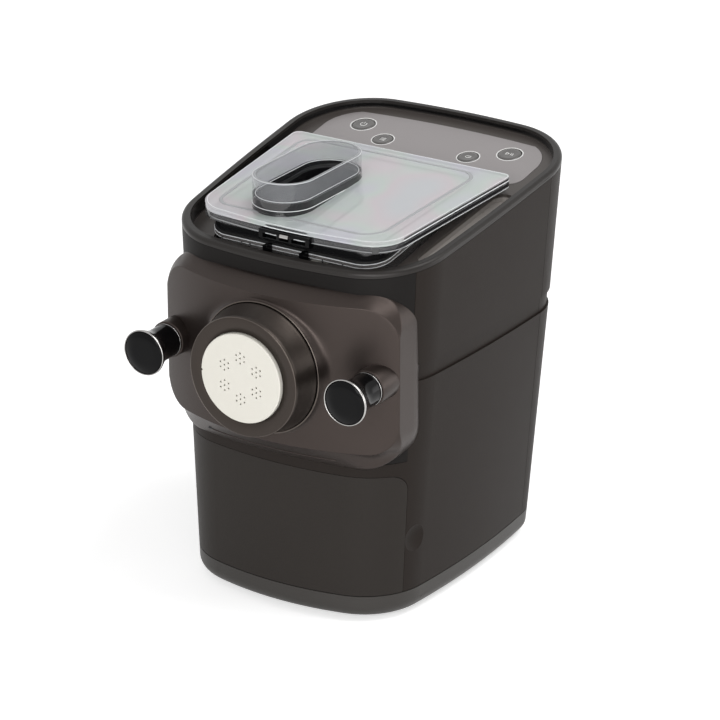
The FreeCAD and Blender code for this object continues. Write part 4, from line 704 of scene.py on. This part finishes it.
def lid_plan(inset):
    """Plan of the lid moved inwards: sides that part to the rear, rounded corners, bowed front edge."""
    y0, y1 = LID["front_y"] + LID["bow"] + inset, LID["rear_y"] - inset
    half_front, half_rear = (LID["half"] + LID["gain"] * y - inset for y in (y0, y1))
    corners = [(-half_front, y0), (half_front, y0), (half_rear, y1), (-half_rear, y1)]
    radii = [LID["front_r"]] * 2 + [LID["rear_r"]] * 2
    arcs = [corner_arc(corners[i], corners[i - 1], corners[(i + 1) % 4], radii[i]) for i in range(4)]
    left, right = arcs[0][-1], arcs[1][0]
    front = np.linspace(left, right, 30)[1:-1]
    front[:, 1] -= LID["bow"] * (1 - (front[:, 0] / left[0]) ** 2)
    return np.vstack([arcs[0], front] + arcs[1:])


def evenly(path, step):
    """The same closed path with points an even step apart."""
    loop = np.vstack([path, path[:1]])
    along = np.concatenate([[0], np.cumsum(np.linalg.norm(np.diff(loop, axis=0), axis=1))])
    count = max(8, int(along[-1] / step))
    at = np.linspace(0, along[-1], count, endpoint=False)
    return np.stack([np.interp(at, along, loop[:, i]) for i in range(loop.shape[1])], -1)


def loop_bead(name, path, plane, rise, wide, high, rows=8):
    """Closed bead with an oval section along a plan path over a sloping plane."""
    path = evenly(path, 1.5)
    along = np.roll(path, -1, axis=0) - np.roll(path, 1, axis=0)
    along /= np.linalg.norm(along, axis=1)[:, None]
    across = np.stack([along[:, 1], -along[:, 0]], -1)
    turn = even_angles(rows)
    flat = path[:, None, :] + across[:, None, :] * (wide * np.cos(turn))[None, :, None]
    points = over_plane(plane, flat[..., 0], flat[..., 1], rise + (high * np.sin(turn))[None, :])
    return outwards(surface(name, points, wrap_u=True, wrap_v=True))


def stadium_bead(name, radius, z, wide, high, rows=8):
    """Closed bead round the funnel at one height."""
    straight = (FUNNEL["length"] - FUNNEL["width"]) / 2
    spot = np.array([FUNNEL["x"], FUNNEL["y"]])
    path = np.vstack([spot + (0, straight) + arc((0, 0), radius, 0, 180, 28),
                      spot - (0, straight) + arc((0, 0), radius, 180, 360, 28)])
    return loop_bead(name, path, (z, 0.0), 0.0, wide, high, rows)


def rounded_plan(corners, radii):
    """Plan of a four-sided outline with these corners, each rounded by its radius."""
    return np.vstack([corner_arc(corners[i], corners[i - 1], corners[(i + 1) % 4], radii[i])
                      for i in range(4)])


def lid_trim():
    """Fine lines of the lid's edge, its groove and its funnel, each with its finish; the near-white lines
    are painted highlights and the dark ones painted shade.
    """
    tube = FUNNEL["width"] / 2
    edge = [(loop_bead(name, lid_plan(inset), LID_PLANE, rise, wide, high), key)
            for name, inset, rise, wide, high, key in LID_LINES]
    groove = loop_bead("lid_groove", rounded_plan(*zip(*GROOVE)), LID_PLANE, 0.02, 1.25, 0.16)
    funnel = [(stadium_bead(name, tube + out, z, wide, high), key)
              for name, out, z, wide, high, key in FUNNEL_LINES]
    return edge + [(groove, "groove_grey")] + funnel


def flange_plan(grow):
    """Plan of the bowl's flange moved outwards."""
    x, y0, y1 = FLANGE["half"] + grow, FLANGE["front_y"] - grow, FLANGE["rear_y"] + grow
    return rounded_plan([(-x, y0), (x, y0), (x, y1), (-x, y1)], [FLANGE["corner_r"] + grow] * 4)


def block(name, centre, half):
    """Plain block round a centre, with its three half sizes."""
    around = ((-1, -1), (1, -1), (1, 1), (-1, 1))
    signs = np.array([[x, y, z] for z in (-1, 1) for x, y in around], float)
    points = (np.asarray(centre) + signs * np.asarray(half)).reshape(2, 4, 3)
    return outwards(surface(name, points, wrap_u=True, cap_start=True, cap_end=True))


def bowl_trim():
    """Painted highlight lines along the bowl's flange edges, and the ribs in front of its wall, each with
    its finish.
    """
    lines = [(loop_bead(name, flange_plan(grow), FLANGE_PLANE, rise, wide, high), "edge_highlight")
             for name, grow, rise, wide, high in FLANGE_LINES]
    ribs = [(block(f"bowl_rib_{i}", (x, RIBS["y"], RIBS["z"]), RIBS["half"]), "edge_dark")
            for i, x in enumerate(RIBS["x"])]
    return lines + ribs


def nut_highlight():
    """Fine bead of lighter bronze round the nut's face: a painted highlight."""
    return turned("nut_highlight", bead(NUT["flank_r"] - 0.55, NUT["face_y"] + 0.35, 0.28, 0.3), steps=NUT_STEPS)


def lip_highlight():
    """Fine bead of lighter bronze round the mask's lip behind the nut: a painted highlight."""
    return turned("lip_highlight", bead(NUT["back_r"] + 0.8, MASK["face_y"] - 1.6, 0.7, 0.6), steps=NUT_STEPS)


def nut_ring():
    """Ring nut: flat face with a fine edge, a cone that widens to a rounded back edge."""
    face, back, seat, mouth, r = (NUT[k] for k in ("face_y", "back_y", "seat_r", "mouth_r", "flank_r"))
    profile = [(seat, back), (seat, face + 2.0), (mouth, face + 2.0), (mouth, face + 0.3),
               (mouth + 0.3, face), (r - 1.3, face), (r - 0.7, face + 0.15), (r - 0.3, face + 0.7),
               (r, face + 1.6)]
    flank = smooth_profile([(r, face + 1.6), (r + 0.5, face + 7), (r + 1.4, face + 13),
                            (r + 2.3, back - 3.2), (r + 2.85, back - 1.4), (r + 2.95, back - 0.5),
                            (r + 2.8, back - 0.1)])
    return turned("nut_ring", np.vstack([profile, flank[1:], [(seat, back)]]), steps=NUT_STEPS)


def knob_pieces(side, name):
    """Knob on one side: gloss body with a hollowed neck, chrome face ring and foot ring."""
    x, face, foot = side * KNOB_X, KNOB["face_y"], KNOB["foot_y"]
    top, thin = KNOB["head_r"], KNOB["neck_r"]
    head = [(0.0, face + 0.5), (8.0, face + 0.45), (top - 1.2, face + 0.7), (top - 0.9, face + 1.0),
            (top - 0.8, face + 2.4), (top, face + 2.7)]
    neck = smooth_profile([(top, face + 2.7), (top - 0.8, face + 4.6), (top - 2.1, face + 7.6),
                           (thin + 0.9, face + 11.5), (thin + 0.2, face + 16), (thin, foot - 5),
                           (thin, foot - 2.0)])
    end = [(KNOB["foot_r"], foot - 1.9), (KNOB["foot_r"], foot), (KNOB["bore_r"], foot),
           (KNOB["bore_r"], foot - 14), (0.0, foot - 14)]
    body = turned(name, np.vstack([head, neck[1:], end]), x)
    rim = turned(name + "_rim", bead(KNOB["rim_r"], face + 1.35, 0.45, 0.95), x)
    collar = turned(name + "_collar", bead(KNOB["collar_r"], foot - 0.8, 0.25, 0.35), x)
    return body, rim, collar


def plane_height(plane, y):
    """Height of a sloping plane at y."""
    return plane[0] + plane[1] * y


def over_plane(plane, x, y, rise):
    """Points over a sloping plane, lifted by rise."""
    return np.stack([x, y, plane_height(plane, y) + rise], -1)


def disc_on_deck(name, spot, profile, steps=64, closed=False):
    """Round form on the deck: rows of (radius, rise) turned about the vertical through spot."""
    angles = even_angles(steps)
    profile = np.asarray(profile, float)
    radius, rise = profile[:, 0][:, None], profile[:, 1][:, None]
    x, y = spot[0] + radius * np.cos(angles), spot[1] + radius * np.sin(angles)
    points = over_plane(DECK_PLANE, x, y, rise + 0 * angles)
    return outwards(surface(name, points, wrap_u=True, wrap_v=closed))


def button_pieces(name):
    """Domed cap with a dish in the middle and its stem, and the pale ring printed round it."""
    x, y, r = BUTTONS[name]
    stem_r, stem_end = BUTTON_STEM
    cap = [(0.0, 0.42), (0.45 * r, 0.46), (0.68 * r, 0.62), (0.85 * r, 0.64), (r - 0.4, 0.35),
           (r - 0.05, -0.1), (r - 0.05, -1.1), (stem_r, -1.15), (stem_r, -stem_end), (0.0, -stem_end)]
    ring = [(r + 0.4, 0.2), (r + 0.4, 0.34), (r + 1.25, 0.34), (r + 1.25, 0.2)]
    return (disc_on_deck(name + "_cap", (x, y), cap),
            disc_on_deck(name + "_light", (x, y), ring, closed=True))


def stroke(name, path):
    """Flat printed line of a sign: a thin rectangle carried along a path over the deck."""
    path = np.asarray(path, float)
    low, high = SIGN_LINE["rise"], SIGN_LINE["rise"] + SIGN_LINE["thick"]
    along = np.gradient(path, axis=0)
    along /= np.linalg.norm(along, axis=1)[:, None]
    across = np.stack([-along[:, 1], along[:, 0]], -1) * SIGN_LINE["width"] / 2
    edges = [(path + across, low), (path + across, high), (path - across, high), (path - across, low)]
    points = np.stack([over_plane(DECK_PLANE, flat[:, 0], flat[:, 1], up) for flat, up in edges], 1)
    return outwards(surface(name, points, wrap_u=True, cap_start=True, cap_end=True))


def arc(centre, radius, start, stop, count=24):
    """Points of an arc, angles in degrees."""
    turn = np.radians(np.linspace(start, stop, count))
    return np.stack([centre[0] + radius * np.cos(turn), centre[1] + radius * np.sin(turn)], -1)


def line(start, stop, count=3):
    """Points of a straight line."""
    return np.linspace(np.asarray(start, float), np.asarray(stop, float), count)


def symbols():
    """Generic signs on the four caps: power, menu lines, a bowl and play with pause."""
    px, py = BUTTONS["power"][:2]
    mx, my = BUTTONS["menu"][:2]
    wx, wy = BUTTONS["weigh"][:2]
    sx, sy = BUTTONS["start"][:2]
    low, high, tip = (sx - 2.9, sy - 1.5), (sx - 2.9, sy + 1.5), (sx - 0.5, sy)
    signs = {"power": [arc((px, py), 2.3, 125, 415), line((px, py + 0.6), (px, py + 3.0))],
             "menu": [line((mx - 2.0, my + d), (mx + 2.0, my + d)) for d in (-1.4, 0.0, 1.4)],
             "weigh": [arc((wx, wy + 0.9), 2.2, 200, 340),
                       line((wx - 2.1, wy + 1.0), (wx + 2.1, wy + 1.0))],
             "start": [line(low, high), line(high, tip), line(tip, low)]
                      + [line((sx + d, sy - 1.5), (sx + d, sy + 1.5)) for d in (1.0, 2.4)]}
    return {key: [stroke(f"{key}_sign_{i}", path) for i, path in enumerate(paths)]
            for key, paths in signs.items()}


# Stage

def add_area(name, at, aim, size, power):
    """Soft square lamp at a place, aimed at a point."""
    lamp = bpy.data.lights.new(name, "AREA")
    lamp.size = size
    lamp.energy = power
    thing = bpy.data.objects.new(name, lamp)
    thing.location = at
    thing.rotation_euler = (Vector(aim) - Vector(at)).to_track_quat("-Z", "Y").to_euler()
    bpy.context.scene.collection.objects.link(thing)


def seen_rays(tree):
    """1 for camera, glossy and transmission rays, else 0."""
    path = tree.nodes.new("ShaderNodeLightPath")
    seen = math_node(tree, "MAXIMUM", path.outputs["Is Camera Ray"], path.outputs["Is Transmission Ray"])
    return math_node(tree, "MAXIMUM", seen, path.outputs["Is Glossy Ray"])


def light_scene():
    """Plain world and the soft lamps; the background is white to the camera and to gloss."""
    world = bpy.data.worlds.new("World")
    bpy.context.scene.world = world
    world.use_nodes = True
    tree = world.node_tree
    back = tree.nodes["Background"]
    strength = math_node(tree, "MULTIPLY_ADD", seen_rays(tree), WORLD_SEEN, WORLD_LIGHT)
    tree.links.new(strength, back.inputs["Strength"])
    back.inputs["Color"].default_value = (1, 1, 1, 1)
    for name, (at, aim, size, power) in LAMPS.items():
        add_area(name, at, aim, size, power)


def add_floor():
    """Pale floor that keeps the object's shadow."""
    corners = [[[x, y, 0.0] for x in (-FLOOR_HALF, FLOOR_HALF)] for y in (-FLOOR_HALF, FLOOR_HALF)]
    floor = surface("floor", np.array(corners))
    material = bpy.data.materials.new("Floor")
    material.use_nodes = True
    tree = material.node_tree
    shader = tree.nodes["Principled BSDF"]
    shader.inputs["Base Color"].default_value = (FLOOR_TONE, FLOOR_TONE, FLOOR_TONE, 1)
    shader.inputs["Roughness"].default_value = 0.9
    shader.inputs["Specular IOR Level"].default_value = 0.1
    glow = math_node(tree, "MULTIPLY", seen_rays(tree), FLOOR_GLOW)
    shader.inputs["Emission Color"].default_value = (1, 1, 1, 1)
    tree.links.new(glow, shader.inputs["Emission Strength"])
    floor.data.materials.append(material)


def add_camera():
    """Camera at the photograph's viewing angle."""
    lens = bpy.data.cameras.new("Camera")
    lens.lens = CAMERA_LENS
    lens.sensor_width = 36.0
    lens.clip_end = 20.0
    camera = bpy.data.objects.new("Camera", lens)
    turn, rise = math.radians(CAMERA_AZIMUTH), math.radians(CAMERA_ELEVATION)
    back = Vector((math.sin(turn) * math.cos(rise), -math.cos(turn) * math.cos(rise), math.sin(rise)))
    camera.location = CAMERA_AT
    camera.rotation_euler = (-back).to_track_quat("-Z", "Y").to_euler()
    bpy.context.scene.collection.objects.link(camera)
    bpy.context.scene.camera = camera


def main():
    """Dresses the frame, adds the fine pieces and the stage."""
    dress_nodes()
    place(front_mask(), "panel", "bronze", replaced=["front_panel"])
    for sleeve in mask_sleeves():
        place(sleeve, "panel", "bronze")
    place(finger_line(), "panel", "bronze")
    place(finger_hole(), "panel", "hole_shade")
    place(lip_highlight(), "panel", "bronze_highlight")
    place(nut_ring(), "nut", "nut_dark", replaced=["ring_nut"])
    for side, name in ((-1, "left"), (1, "right")):
        body, rim, collar = knob_pieces(side, name + "_grip")
        place(body, "knob_" + name, "gloss_black", replaced=[name + "_knob"])
        place(rim, "knob_" + name, "chrome", replaced=[name + "_knob_ring"])
        place(collar, "knob_" + name, "chrome")
    signs = symbols()
    for name in BUTTONS:
        cap, light = button_pieces(name)
        place(cap, name + "_key", "button_dark", replaced=[name + "_button"])
        place(light, "casing", "white_print")
        for sign in signs[name]:
            place(sign, name + "_key", "white_print")
    place(nut_highlight(), "nut", "bronze_highlight")
    for thing, key in lid_trim():
        place(thing, "lid_body", key)
    for thing, key in bowl_trim():
        place(thing, "casing", key)
    light_scene()
    add_floor()
    add_camera()
    bpy.context.scene.view_settings.view_transform = "Standard"


main()
